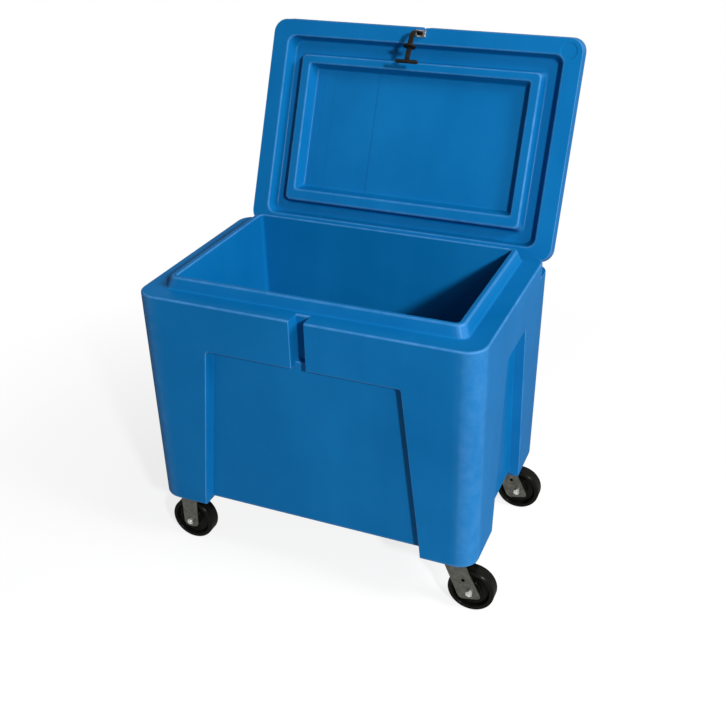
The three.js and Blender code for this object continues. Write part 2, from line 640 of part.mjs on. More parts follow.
function lidGroove(grow) {
  const corner = GROOVE_CORNER_RADIUS;
  const mouth = frameOf(GROOVE_MOUTH_HALF_WIDTH, GROOVE_MOUTH_FRONT, GROOVE_MOUTH_BACK, corner);
  const root = frameOf(GROOVE_ROOT_HALF_WIDTH, GROOVE_ROOT_FRONT, GROOVE_ROOT_BACK, corner);
  const tip = frameOf(PLUG_TIP_HALF_WIDTH, PLUG_TIP_FRONT, PLUG_TIP_BACK, PLUG_CORNER_RADIUS);
  const foot = frameOf(PLUG_ROOT_HALF_WIDTH, PLUG_ROOT_FRONT, PLUG_ROOT_BACK, PLUG_CORNER_RADIUS);
  const plug = loft([
    ringAt(tip, LID_UNDERSIDE_HEIGHT - OVERSHOOT, -grow, TIGHT_CORNER_STEPS),
    ringAt(tip, LID_UNDERSIDE_HEIGHT, -grow, TIGHT_CORNER_STEPS),
    ringAt(foot, LID_UNDERSIDE_HEIGHT + GROOVE_DEPTH, -grow, TIGHT_CORNER_STEPS),
    ringAt(foot, LID_UNDERSIDE_HEIGHT + LID_THICKNESS, -grow, TIGHT_CORNER_STEPS),
  ]);
  return sunk(mouth, root, GROOVE_DEPTH, grow, CORNER_STEPS).subtract(plug);
}

function lidPan(grow) {
  const mouth = frameOf(PAN_MOUTH_HALF_WIDTH, PAN_MOUTH_FRONT, PAN_MOUTH_BACK, PAN_CORNER_RADIUS);
  const root = frameOf(PAN_ROOT_HALF_WIDTH, PAN_ROOT_FRONT, PAN_ROOT_BACK, PAN_CORNER_RADIUS);
  return sunk(mouth, root, PAN_DEPTH, grow, TIGHT_CORNER_STEPS);
}

function lidCrownRecess(grow) {
  const top = LID_UNDERSIDE_HEIGHT + LID_THICKNESS;
  const edge = grow - CROWN_BAND_WIDTH;
  return loft([
    ringAt(lidFrame(), top - CROWN_RECESS_DEPTH - grow, edge - CROWN_SLOPE_RUN, TIGHT_CORNER_STEPS),
    ringAt(lidFrame(), top + FIT_GAP, edge, TIGHT_CORNER_STEPS),
    ringAt(lidFrame(), top + OVERSHOOT, edge, TIGHT_CORNER_STEPS),
  ]);
}

function lidNotch(grow) {
  const reach = NOTCH_HALF_WIDTH + grow;
  return box(-reach, reach, LID_FRONT - OVERSHOOT, LID_UNDER_FRONT + NOTCH_DEPTH + grow,
    LID_UNDERSIDE_HEIGHT - OVERSHOOT, LID_UNDERSIDE_HEIGHT + LID_THICKNESS + OVERSHOOT);
}

function lidDimple() {
  return rod('z', DIMPLE_SIDE, DIMPLE_FRONT, DIMPLE_RADIUS, LID_UNDERSIDE_HEIGHT - OVERSHOOT,
    LID_UNDERSIDE_HEIGHT + DIMPLE_DEPTH, ROUND_STEPS);
}

function lidMass(inset) {
  const blank = lidBlank(inset).subtract(lidGroove(inset)).subtract(lidPan(inset));
  return blank.subtract(lidCrownRecess(inset)).subtract(lidNotch(inset));
}

// Lugs rooted in the middle of the lid's skin, clear of the hinge step when the lid is shut
function lidLugs() {
  const deep = SKIN_THICKNESS * HALF;
  const arc = circle(HINGE_BACK, HINGE_HEIGHT, HINGE_BARREL_RADIUS, ROUND_STEPS);
  const outline = [
    [LID_BACK - deep, LID_UNDERSIDE_HEIGHT + LID_UNDER_EDGE + deep],
    [RISER_BACK + LUG_RISER_SPACE, LID_UNDERSIDE_HEIGHT + deep],
    ...arc.slice(ROUND_STEPS * HALF),
    arc[0],
    arc[1],
    arc[2],
  ];
  return alongHinge(outline, LID_LUG_SHARES);
}

function clipScrewSpots() {
  const middle = (CLIP_FRONT + CLIP_BACK) * HALF;
  return [[-CLIP_SCREW_SIDE, middle], [CLIP_SCREW_SIDE, middle]];
}

function clipScrewHoles() {
  return joined(clipScrewSpots().map(([x, y]) => rod(
    'z', x, y, CLIP_SCREW_RADIUS + FIT_GAP, LID_UNDERSIDE_HEIGHT - OVERSHOOT,
    LID_UNDERSIDE_HEIGHT + CLIP_SCREW_LENGTH,
  )));
}

// The lid is filled through its crown, out of sight from below
function lidCrownHeight() {
  return LID_UNDERSIDE_HEIGHT + LID_THICKNESS - CROWN_RECESS_DEPTH;
}

function lidShell() {
  const skin = lidMass(0).add(lidLugs()).subtract(lidMass(SKIN_THICKNESS));
  const drilled = skin.subtract(rodHole()).subtract(clipScrewHoles());
  const hole = fillHole(LID_FILL_HOLE_BACK, lidCrownHeight(), 1);
  return drilled.subtract(hole).subtract(lidDimple());
}

function lidFoam() {
  return lidMass(SKIN_THICKNESS + FIT_GAP).subtract(clipScrewHoles());
}

function lidFillPlug() {
  return fillPlug(LID_FILL_HOLE_BACK, lidCrownHeight(), 1);
}

function hingeRod() {
  return rod('x', HINGE_BACK, HINGE_HEIGHT, HINGE_ROD_RADIUS, -HINGE_ROD_HALF_LENGTH, HINGE_ROD_HALF_LENGTH);
}

function hingeCap(side) {
  const inner = HINGE_ROD_HALF_LENGTH - HINGE_CAP_THICKNESS - FIT_GAP;
  const outer = HINGE_ROD_HALF_LENGTH + HINGE_CAP_THICKNESS;
  const ends = ordered(side * inner, side * outer);
  const bore = ordered(side * (inner - OVERSHOOT), side * (HINGE_ROD_HALF_LENGTH + FIT_GAP));
  const head = rod('x', HINGE_BACK, HINGE_HEIGHT, HINGE_CAP_RADIUS, ...ends, ROUND_STEPS);
  return head.subtract(rod('x', HINGE_BACK, HINGE_HEIGHT, HINGE_ROD_RADIUS + FIT_GAP, ...bore));
}

// Pull latch, drawn on the closed lid
function pinHeight() {
  return LID_UNDERSIDE_HEIGHT - PIN_DROP;
}

function latchClip() {
  const top = LID_UNDERSIDE_HEIGHT - FIT_GAP;
  const base = box(-CLIP_HALF_WIDTH, CLIP_HALF_WIDTH, CLIP_FRONT, CLIP_BACK, top - CLIP_SHEET, top);
  const ears = [-1, 1].map((side) => {
    const inner = side * CLIP_EAR_HALF_GAP;
    const outer = side * (CLIP_EAR_HALF_GAP + CLIP_SHEET);
    return box(Math.min(inner, outer), Math.max(inner, outer), CLIP_FRONT, CLIP_BACK,
      top - CLIP_EAR_HEIGHT, top - CLIP_SHEET * HALF);
  });
  const hole = rod('x', PIN_FRONT, pinHeight(), PIN_RADIUS + FIT_GAP, -CLIP_HALF_WIDTH, CLIP_HALF_WIDTH);
  return joined([base, ...ears]).subtract(hole).subtract(clipScrewHoles());
}

// A screw whose head lies before its seat and whose shank runs on to its tip
function screw(axis, [u, v], size, seat, tip) {
  const head = rod(axis, u, v, size.headRadius, seat - size.headHeight, seat);
  return head.add(rod(axis, u, v, size.radius, seat - size.headHeight * HALF, tip));
}

function clipScrew(side) {
  const size = {
    radius: CLIP_SCREW_RADIUS,
    headRadius: CLIP_SCREW_HEAD_RADIUS,
    headHeight: CLIP_SCREW_HEAD_HEIGHT,
  };
  const seat = LID_UNDERSIDE_HEIGHT - FIT_GAP - CLIP_SHEET - FIT_GAP;
  const tip = LID_UNDERSIDE_HEIGHT + CLIP_SCREW_LENGTH - FIT_GAP;
  return screw('z', clipScrewSpots()[side], size, seat, tip);
}

function latchPin() {
  return rod('x', PIN_FRONT, pinHeight(), PIN_RADIUS, -PIN_HALF_LENGTH, PIN_HALF_LENGTH);
}

// Points of the hanging strap as it lies when the lid stands open
function strapCentre() {
  return STRAP_PATH_SHARES.map(([out, fall]) => [
    PIN_FRONT + fall * STRAP_FALL,
    pinHeight() - out * STRAP_REACH,
  ]);
}

function strapNormal(points, place) {
  const before = points[Math.max(place - 1, 0)];
  const after = points[Math.min(place + 1, points.length - 1)];
  const [dy, dz] = [after[0] - before[0], after[1] - before[1]];
  const length = Math.hypot(dy, dz);
  return [-dz / length, dy / length];
}

function strapBand(points) {
  const edge = (side) => points.map(([y, z], place) => {
    const [ny, nz] = strapNormal(points, place);
    const reach = side * STRAP_THICKNESS * HALF;
    return [y + ny * reach, z + nz * reach];
  });
  return prism([...edge(1), ...edge(-1).reverse()], 'x', -STRAP_WIDTH * HALF, STRAP_WIDTH * HALF);
}

function collarAt(points, place) {
  const [y, z] = points[place];
  const [ny, nz] = strapNormal(points, place);
  const disc = new THREE.CylinderGeometry(COLLAR_RADIUS, COLLAR_RADIUS, COLLAR_THICKNESS, ROUND_STEPS);
  const along = new THREE.Vector3(0, nz, -ny);
  disc.applyQuaternion(new THREE.Quaternion().setFromUnitVectors(new THREE.Vector3(0, 1, 0), along));
  disc.translate(0, y, z);
  return solidOf(disc);
}

function latchStrap() {
  const points = strapCentre();
  const [endY, endZ] = points[points.length - 1];
  const half = STRAP_WIDTH * HALF;
  const loop = rod('x', ...points[0], STRAP_LOOP_RADIUS, -half, half);
  const handle = rod('x', endY, endZ, HANDLE_RADIUS, -HANDLE_HALF_LENGTH, HANDLE_HALF_LENGTH);
  const whole = joined([strapBand(points), loop, collarAt(points, COLLAR_PATH_STEPS), handle]);
  return whole.subtract(rod('x', ...points[0], PIN_RADIUS + FIT_GAP, -STRAP_WIDTH, STRAP_WIDTH));
}

// Caster pieces, each drawn round its own pivot
function turned(profile, steps, turn = 0) {
  const closed = [...profile, profile[0]].reverse();
  const points = closed.map(([radius, across]) => new THREE.Vector2(radius, across));
  return solidOf(new THREE.LatheGeometry(points, steps).rotateY(turn));
}

function wheelSolid() {
  const web = WHEEL_WEB_THICKNESS * HALF;
  const hub = WHEEL_HUB_LENGTH * HALF;
  const bore = SLEEVE_RADIUS + FIT_GAP;
  const half = [
    [bore, hub],
    [WHEEL_HUB_RADIUS, hub],
    [WHEEL_HUB_FOOT_RADIUS, web],
    [WHEEL_DISH_RADIUS, web],
    [WHEEL_FACE_RADIUS, WHEEL_HALF_WIDTH],
    [WHEEL_RADIUS - WHEEL_SHOULDER, WHEEL_HALF_WIDTH],
    [WHEEL_RADIUS, WHEEL_HALF_WIDTH - WHEEL_SHOULDER],
  ];
  const other = half.map(([radius, across]) => [radius, -across]).reverse();
  const halfFacet = Math.PI / WHEEL_STEPS;
  return turned([...half, ...other], WHEEL_STEPS, halfFacet);
}

function sleeveSolid() {
  const reach = FORK_INNER_HALF - FIT_GAP;
  const bore = AXLE_RADIUS + FIT_GAP;
  const profile = [[bore, reach], [SLEEVE_RADIUS, reach], [SLEEVE_RADIUS, -reach], [bore, -reach]];
  return turned(profile, SMALL_ROUND_STEPS);
}

function axleBolt() {
  const seat = FORK_OUTER_HALF + FIT_GAP;
  const end = seat + AXLE_NUT_HEIGHT + AXLE_END_LENGTH;
  const shank = rod('y', WHEEL_RADIUS, 0, AXLE_RADIUS, -end, seat + AXLE_HEAD_HEIGHT * HALF);
  return shank.add(rod('y', WHEEL_RADIUS, 0, AXLE_HEAD_RADIUS, seat, seat + AXLE_HEAD_HEIGHT, HEX_STEPS));
}

function axleNut() {
  const seat = -FORK_OUTER_HALF - FIT_GAP;
  const nut = rod('y', WHEEL_RADIUS, 0, AXLE_HEAD_RADIUS, seat - AXLE_NUT_HEIGHT, seat, HEX_STEPS);
  const reach = FORK_OUTER_HALF + AXLE_NUT_HEIGHT + OVERSHOOT;
  return nut.subtract(rod('y', WHEEL_RADIUS, 0, AXLE_RADIUS + FIT_GAP, -reach, 0));
}

function mountingPlate() {
  const frame = frameOf(PLATE_LENGTH * HALF, -PLATE_WIDTH * HALF, PLATE_WIDTH * HALF, PLATE_CORNER_RADIUS);
  const plate = loft([PLATE_UNDER_HEIGHT, PLATE_TOP_HEIGHT].map((height) => (
    ringAt(frame, height, 0, TIGHT_CORNER_STEPS)
  )));
  const holes = plateBoltSpots(0, 0).map(([x, y]) => rod('z', x, y, PLATE_BOLT_RADIUS + FIT_GAP,
    PLATE_UNDER_HEIGHT - OVERSHOOT, PLATE_TOP_HEIGHT + OVERSHOOT));
  return plate.subtract(joined(holes));
}

// A corner of a flat outline, rounded by a curve that starts and ends `reach` away from it
function softCorner(before, corner, after, reach) {
  const at = new THREE.Vector2(...corner);
  const start = new THREE.Vector2(...before).sub(at).setLength(reach).add(at);
  const end = new THREE.Vector2(...after).sub(at).setLength(reach).add(at);
  const curve = new THREE.QuadraticBezierCurve(start, at, end);
  return curve.getPoints(CORNER_STEPS).map((point) => point.toArray());
}

// Outline of a fork leg from its four corners, [height, along], with the low pair rounded
function legOutline(topBack, endBack, endFront, topFront, reach) {
  return [
    topBack,
    ...softCorner(topBack, endBack, endFront, reach),
    ...softCorner(endBack, endFront, topFront, reach),
    topFront,
  ];
}

function legs(outline, axle) {
  const pair = [-1, 1].map((side) => {
    const ends = ordered(side * FORK_INNER_HALF, side * FORK_OUTER_HALF);
    return prism(outline, 'y', ...ends);
  });
  const reach = FORK_OUTER_HALF + OVERSHOOT;
  return joined(pair).subtract(rod('y', WHEEL_RADIUS, axle, AXLE_RADIUS + FIT_GAP, -reach, reach));
}

function rigidFork() {
  const top = PLATE_UNDER_HEIGHT + PLATE_THICKNESS * HALF;
  const end = WHEEL_RADIUS - RIGID_LEG_END_DROP;
  const outline = legOutline(
    [top, RIGID_LEG_TOP_HALF_WIDTH],
    [end, RIGID_LEG_END_HALF_WIDTH],
    [end, -RIGID_LEG_END_HALF_WIDTH],
    [top, -RIGID_LEG_TOP_HALF_WIDTH],
    RIGID_LEG_CORNER_REACH,
  );
  return mountingPlate().add(legs(outline, 0));
}

// Heights of the swivel head, from the plate down
function swivelLevels() {
  const race = PLATE_UNDER_HEIGHT - RACE_HEIGHT;
  const ringTop = race - FIT_GAP;
  const ringUnder = ringTop - BALL_RING_HEIGHT;
  const crownTop = ringUnder - FIT_GAP;
  const crownUnder = crownTop - FORK_SHEET;
  return { race, ringTop, ringUnder, crownTop, crownUnder };
}

function kingPinHole(low, high) {
  return rod('z', 0, 0, KING_PIN_RADIUS + FIT_GAP, low, high);
}

function swivelPlate() {
  const { race } = swivelLevels();
  const disc = rod('z', 0, 0, RACE_RADIUS, race, PLATE_UNDER_HEIGHT + PLATE_THICKNESS * HALF, ROUND_STEPS);
  const whole = mountingPlate().add(disc);
  return whole.subtract(kingPinHole(race - OVERSHOOT, PLATE_TOP_HEIGHT + OVERSHOOT));
}

function ballRing() {
  const { ringTop, ringUnder } = swivelLevels();
  const ring = rod('z', 0, 0, BALL_RING_RADIUS, ringUnder, ringTop, ROUND_STEPS);
  return ring.subtract(kingPinHole(ringUnder - OVERSHOOT, ringTop + OVERSHOOT));
}

function kingPin() {
  const { crownUnder } = swivelLevels();
  const seat = crownUnder - FIT_GAP;
  const shank = rod('z', 0, 0, KING_PIN_RADIUS, seat - KING_PIN_NUT_HEIGHT * HALF, PLATE_TOP_HEIGHT);
  return shank.add(rod('z', 0, 0, KING_PIN_NUT_RADIUS, seat - KING_PIN_NUT_HEIGHT, seat, HEX_STEPS));
}

function swivelFork() {
  const { crownTop, crownUnder } = swivelLevels();
  const crown = rod('z', 0, 0, CROWN_PLATE_RADIUS, crownUnder, crownTop, ROUND_STEPS);
  const top = (crownTop + crownUnder) * HALF;
  const outline = legOutline(
    [top, SWIVEL_LEG_TOP_BACK],
    [WHEEL_RADIUS - SWIVEL_LEG_END_BACK_DROP, SWIVEL_TRAIL + SWIVEL_LEG_END_BACK],
    [WHEEL_RADIUS - SWIVEL_LEG_END_FRONT_DROP, SWIVEL_TRAIL - SWIVEL_LEG_END_FRONT],
    [top, -SWIVEL_LEG_TOP_FRONT],
    SWIVEL_LEG_CORNER_REACH,
  );
  const reach = FORK_OUTER_HALF + OVERSHOOT;
  const spareHeight = WHEEL_RADIUS + (top - WHEEL_RADIUS) * LEG_HOLE_SHARE;
  const spareAlong = SWIVEL_TRAIL * (1 - LEG_HOLE_SHARE);
  const spare = rod('y', spareHeight, spareAlong, LEG_HOLE_RADIUS, -reach, reach);
  const whole = crown.add(legs(outline, SWIVEL_TRAIL)).subtract(spare);
  return whole.subtract(kingPinHole(crownUnder - OVERSHOOT, crownTop + OVERSHOOT));
}

function plateBolt() {
  const seat = PLATE_UNDER_HEIGHT - FIT_GAP;
  const shank = rod('z', 0, 0, PLATE_BOLT_RADIUS, seat - PLATE_BOLT_HEAD_HEIGHT * HALF,
    PLATE_UNDER_HEIGHT + PLATE_BOLT_LENGTH);
  return shank.add(rod('z', 0, 0, PLATE_BOLT_HEAD_RADIUS, seat - PLATE_BOLT_HEAD_HEIGHT, seat, HEX_STEPS));
}

// Finishes
const FINISHES = {
  bluePlastic: { color: 0x1f6bb5, roughness: 0.42, metalness: 0 },
  foam: { color: 0xe9dfb8, roughness: 0.9, metalness: 0 },
  bluePlug: { color: 0x1b5fa3, roughness: 0.5, metalness: 0 },
  rubber: { color: 0x1c1b1a, roughness: 0.75, metalness: 0 },
  stainless: { color: 0xb9bdc0, roughness: 0.3, metalness: 1 },
  zincSteel: { color: 0x8d9092, roughness: 0.42, metalness: 1 },
  brightBolt: { color: 0xc6c8c6, roughness: 0.32, metalness: 1 },
  blackWheel: { color: 0x141414, roughness: 0.45, metalness: 0 },
};

const group = new THREE.Group();
group.name = 'rolling_insulated_container';

function addNode(name, solid, finish, placement) {
  const geometry = geometryOf(solid);
  if (placement) geometry.applyMatrix4(placement);
  const mesh = new THREE.Mesh(geometry, new THREE.MeshStandardMaterial(FINISHES[finish]));
  mesh.name = name;
  mesh.material.name = finish;
  group.add(mesh);
}

// Swings the closed lid back about the hinge rod
function lidOpening() {
  const away = new THREE.Matrix4().makeTranslation(0, -HINGE_BACK, -HINGE_HEIGHT);
  const turn = new THREE.Matrix4().makeRotationX(-THREE.MathUtils.degToRad(LID_OPEN_DEGREES));
  const home = new THREE.Matrix4().makeTranslation(0, HINGE_BACK, HINGE_HEIGHT);
  return home.multiply(turn).multiply(away);
}

function addBox() {
  addNode('body_shell', bodyShell(), 'bluePlastic');
  addNode('body_foam', bodyFoam(), 'foam');
  addNode('body_fill_plug', bodyFillPlug(), 'bluePlug');
  addNode('hinge_rod', hingeRod(), 'stainless');
  addNode('hinge_cap_left', hingeCap(-1), 'stainless');
  addNode('hinge_cap_right', hingeCap(1), 'stainless');
}

function addLid() {
  const open = lidOpening();
  addNode('lid_shell', lidShell(), 'bluePlastic', open);
  addNode('lid_foam', lidFoam(), 'foam', open);
  addNode('lid_fill_plug', lidFillPlug(), 'bluePlug', open);
  addNode('latch_clip', latchClip(), 'stainless', open);
  addNode('latch_clip_screw_left', clipScrew(0), 'stainless', open);
  addNode('latch_clip_screw_right', clipScrew(1), 'stainless', open);
  addNode('latch_pin', latchPin(), 'stainless', open);
  addNode('latch_strap', latchStrap(), 'rubber', open);
}

function addCaster([name, x, y, swivels]) {
  const pivot = new THREE.Matrix4().makeTranslation(x, y, 0);
  const axle = new THREE.Matrix4().makeTranslation(x + (swivels ? SWIVEL_TRAIL : 0), y, 0);
  const lifted = axle.clone().multiply(new THREE.Matrix4().makeTranslation(0, 0, WHEEL_RADIUS));
  if (swivels) {
    addNode(`caster_plate_${name}`, swivelPlate(), 'zincSteel', pivot);
    addNode(`ball_ring_${name}`, ballRing(), 'zincSteel', pivot);
    addNode(`king_pin_${name}`, kingPin(), 'zincSteel', pivot);
    addNode(`fork_${name}`, swivelFork(), 'zincSteel', pivot);
  } else {
    addNode(`fork_${name}`, rigidFork(), 'zincSteel', pivot);
  }
  addNode(`wheel_${name}`, wheelSolid(), 'blackWheel', lifted);
  addNode(`sleeve_${name}`, sleeveSolid(), 'zincSteel', lifted);
  addNode(`axle_bolt_${name}`, axleBolt(), 'brightBolt', axle);
  addNode(`axle_nut_${name}`, axleNut(), 'brightBolt', axle);
  plateBoltSpots(x, y).forEach(([boltX, boltY], place) => {
    const spot = new THREE.Matrix4().makeTranslation(boltX, boltY, 0);
    addNode(`plate_bolt_${name}_${place + 1}`, plateBolt(), 'brightBolt', spot);
  });
}

// Sets the middle of the whole outline over the origin
function centreOnOrigin() {
  const size = new THREE.Box3().setFromObject(group);
  const middle = size.getCenter(new THREE.Vector3());
  group.children.forEach((mesh) => mesh.geometry.translate(-middle.x, -middle.y, -size.min.z));
}

addBox();
addLid();
casters().forEach(addCaster);
centreOnOrigin();

export default group;
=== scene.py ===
# %% [markdown]
# A rolling insulated container: a thick blue moulded box on four casters, with a heavy lid
# that leans back on its hinge. The imported model gives every place and joint. This lesson
# dresses it: the box, the lid, the latch strap and the tyres get surfaces worked out with
# numpy, with the soft edges that moulded plastic has, and every piece gets a finish made from
# nodes.

# %% Load the imported frame
import json
import math

import bmesh
import bpy
import numpy as np
from mathutils import Matrix, Vector


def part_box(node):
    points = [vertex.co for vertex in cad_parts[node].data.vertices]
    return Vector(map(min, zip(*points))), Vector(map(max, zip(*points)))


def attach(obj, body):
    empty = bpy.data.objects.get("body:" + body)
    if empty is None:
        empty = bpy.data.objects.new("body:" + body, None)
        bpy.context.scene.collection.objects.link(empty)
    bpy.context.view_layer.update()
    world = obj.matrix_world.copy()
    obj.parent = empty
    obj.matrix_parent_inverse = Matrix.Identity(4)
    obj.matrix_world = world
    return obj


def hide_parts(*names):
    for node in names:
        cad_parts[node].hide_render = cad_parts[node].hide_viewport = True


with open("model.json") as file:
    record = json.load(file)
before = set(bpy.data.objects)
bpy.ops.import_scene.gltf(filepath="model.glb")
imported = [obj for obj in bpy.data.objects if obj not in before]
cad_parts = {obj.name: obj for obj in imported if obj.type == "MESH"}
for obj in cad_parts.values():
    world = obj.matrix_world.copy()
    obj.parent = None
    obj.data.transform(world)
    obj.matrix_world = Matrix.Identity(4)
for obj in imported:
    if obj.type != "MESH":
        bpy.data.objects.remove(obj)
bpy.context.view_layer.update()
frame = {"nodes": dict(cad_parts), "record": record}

# %% [markdown]
# Sizes are written in millimetres round the middle of the box, as on a drawing, and one
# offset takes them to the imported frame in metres. The hinge rod gives that offset, because
# the rod's place on the drawing is known.

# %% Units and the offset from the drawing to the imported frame
MM = 0.001
HINGE_BACK = 339.3
HINGE_HEIGHT = 926.3
OPEN_DEGREES = 112.27


def middle_of(node):
    low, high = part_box(node)
    return (np.array(low) + np.array(high)) / 2


SHIFT = middle_of("hinge_rod") - np.array([0, HINGE_BACK, HINGE_HEIGHT]) * MM


def placed(points):
    """Drawing millimetres to packed metres: points times a thousandth, plus the offset."""
    return np.asarray(points, float) * MM + SHIFT


def opened(points):
    """Turns points of the closed lid back about the hinge rod by the opening angle."""
    angle = -math.radians(OPEN_DEGREES)
    y = points[..., 1] - HINGE_BACK
    z = points[..., 2] - HINGE_HEIGHT
    back = y * math.cos(angle) - z * math.sin(angle) + HINGE_BACK
    up = y * math.sin(angle) + z * math.cos(angle) + HINGE_HEIGHT
    return np.stack([points[..., 0], back, up], -1)


print("offset in metres", SHIFT.round(5))

# %% [markdown]
# The camera stands where the photographer stood. Its place, its two angles and its small
# roll were fitted to the edges of the object, so the view needs no shift.

# %% Camera
IMAGE_PIXELS = 726
FOCAL_PIXELS = 1018.071
SENSOR_MM = 36.0
CAMERA_MM = (1161.866, -2706.986, 2236.980)
YAW_DEGREES = 22.536
PITCH_DEGREES = 28.675
ROLL_DEGREES = -0.57


def add_camera():
    """Builds the view axes: forward from yaw and pitch, then right and up turned by the roll."""
    yaw, pitch, roll = (math.radians(a) for a in (YAW_DEGREES, PITCH_DEGREES, ROLL_DEGREES))
    across, ahead = -math.sin(yaw) * math.cos(pitch), math.cos(yaw) * math.cos(pitch)
    forward = Vector((across, ahead, -math.sin(pitch)))
    level = Vector((math.cos(yaw), math.sin(yaw), 0))
    above = level.cross(forward)
    right = level * math.cos(roll) + above * math.sin(roll)
    up = above * math.cos(roll) - level * math.sin(roll)
    data = bpy.data.cameras.new("camera")
    data.sensor_width = SENSOR_MM
    data.lens = FOCAL_PIXELS / IMAGE_PIXELS * SENSOR_MM
    camera = bpy.data.objects.new("camera", data)
    axes = Matrix((right, up, -forward)).transposed().to_4x4()
    camera.matrix_world = Matrix.Translation(Vector(placed(CAMERA_MM))) @ axes
    bpy.context.scene.collection.objects.link(camera)
    bpy.context.scene.camera = camera
    return camera


camera = add_camera()
bpy.context.scene.view_settings.view_transform = "Standard"
camera_place = [round(v, 4) for v in camera.matrix_world.translation]
print("camera at", camera_place, "lens", round(camera.data.lens, 3))

# %% [markdown]
# Shader maths reads best as plain expressions. A small class holds a node's output and turns
# each operator into a Math node; one method adds any other node and links what it is given.

# %% Shader helpers
FADE_PER_METRE = 120.0


class Wire:
    """A varying value, held as the output socket of a node in one finish."""

    def __init__(self, finish, socket):
        self.finish = finish
        self.socket = socket

    def math(self, operation, first, second=0.0):
        return self.finish.add("ShaderNodeMath", {"operation": operation}, {0: first, 1: second})

    def __add__(self, other):
        return self.math("ADD", self, other)

    def __sub__(self, other):
        return self.math("SUBTRACT", self, other)

    def __rsub__(self, other):
        return self.math("SUBTRACT", other, self)

    def __mul__(self, other):
        return self.math("MULTIPLY", self, other)

    __radd__ = __add__
    __rmul__ = __mul__

    def clipped(self):
        return self.finish.add("ShaderNodeClamp", {}, {"Value": self})


class Finish:
    """One material under construction, with its surface shader and its object coordinates."""

    def __init__(self, name, **surface):
        self.material = bpy.data.materials.new(name)
        self.material.use_nodes = True
        self.tree = self.material.node_tree
        self.surface = self.tree.nodes["Principled BSDF"]
        for socket, value in surface.items():
            self.surface.inputs[socket.replace("_", " ")].default_value = value
        self.place = self.add("ShaderNodeTexCoord", output="Object")

    def add(self, kind, settings=None, sockets=None, output=0):
        """Adds a node, sets it up, then fills or links its sockets."""
        node = self.tree.nodes.new(kind)
        for name, value in (settings or {}).items():
            if name == "stops":
                self.set_stops(node.color_ramp, value)
            else:
                setattr(node, name, value)
        for name, value in (sockets or {}).items():
            self.feed(node.inputs[name], value)
        return Wire(self, node.outputs[output])

    def set_stops(self, ramp, stops):
        while len(ramp.elements) < len(stops):
            ramp.elements.new(1.0)
        for element, (position, level) in zip(ramp.elements, stops):
            element.position = position
            element.color = (level, level, level, 1.0)

    def feed(self, socket, value):
        if isinstance(value, Wire):
            self.tree.links.new(value.socket, socket)
        else:
            socket.default_value = value

    def noise(self, scale, detail=3.0, roughness=0.55, stretch=(1.0, 1.0, 1.0)):
        """Fractal noise, from nought to one, at `scale` lumps to the metre."""
        place = self.add("ShaderNodeMapping", {}, {"Vector": self.place, "Scale": stretch})
        sockets = {"Vector": place, "Scale": scale, "Detail": detail, "Roughness": roughness}
        return self.add("ShaderNodeTexNoise", {}, sockets, "Fac")

    def span_from(self, point):
        """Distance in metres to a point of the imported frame."""
        settings = {"operation": "DISTANCE"}
        return self.add("ShaderNodeVectorMath", settings, {0: self.place, 1: tuple(point)}, "Value")

    def span_along_x(self, middle):
        """Distance in metres to an upright plane across X."""
        across = self.add("ShaderNodeSeparateXYZ", {}, {"Vector": self.place}, "X")
        return self.add("ShaderNodeMath", {"operation": "ABSOLUTE"}, {0: across - middle})

    def between_heights(self, low, high):
        """One between two heights in metres and nought outside, with a short fade."""
        up = self.add("ShaderNodeSeparateXYZ", {}, {"Vector": self.place}, "Z")
        return ((up - low) * FADE_PER_METRE).clipped() * ((high - up) * FADE_PER_METRE).clipped()

    def ramp(self, value, *stops):
        return self.add("ShaderNodeValToRGB", {"stops": stops}, {"Fac": value})

    def blend(self, share, first, second):
        """Mixes two colours by a share."""
        node = self.tree.nodes.new("ShaderNodeMix")
        node.data_type = "RGBA"
        colours = [s for s in node.inputs if s.type == "RGBA"]
        factor = next(s for s in node.inputs if s.type == "VALUE")
        self.feed(factor, share)
        self.feed(colours[0], first)
        self.feed(colours[1], second)
        return Wire(self, next(s for s in node.outputs if s.type == "RGBA"))

    def shape(self, height, distance, strength=1.0, under=None):
        sockets = {"Height": height, "Distance": distance, "Strength": strength}
        if under is not None:
            sockets["Normal"] = under
        return self.add("ShaderNodeBump", {}, sockets)

    def finish_with(self, **sockets):
        for name, value in sockets.items():
            self.feed(self.surface.inputs[name.replace("_", " ")], value)
        return self.material


def shade(red, green, blue):
    """A colour from its linear red, green and blue."""
    return (red, green, blue, 1.0)


# %% [markdown]
# The box and the lid are moulded in a hot turning mould from plastic powder. That leaves a
# satin skin, very slightly wavy and mottled. Convex edges are painted paler: partly rubbed
# wear, partly a painted highlight standing in for light catching the edges. The edge share is
# measured on each surface and kept as an attribute, so it bakes well.

# %% Blue moulded plastic
PLASTIC_DEEP = shade(0.001, 0.104, 0.292)
PLASTIC_MID = shade(0.004, 0.136, 0.362)
# Pale colour for convex edges: part rubbed wear, part painted highlight.
PLASTIC_WORN_AND_HIGHLIT = shade(0.110, 0.290, 0.580)
PLASTIC_SEAM = shade(0.0, 0.030, 0.110)
CLOUDS_PER_METRE, STREAKS_PER_METRE = 2.6, 7.0
GRAINS_PER_METRE, PATCHES_PER_METRE, RIPPLES_PER_METRE = 420.0, 26.0, 9.0
CLOUD_SHARE = 0.65
SEAM_LEVEL, SEAM_FALL_PER_METRE, SEAM_WANDER, SEAM_DENT = 1.1, 420.0, 0.0012, 0.1
DIMPLE_SCALE, DIMPLE_HEIGHT = 20.0, 1.2


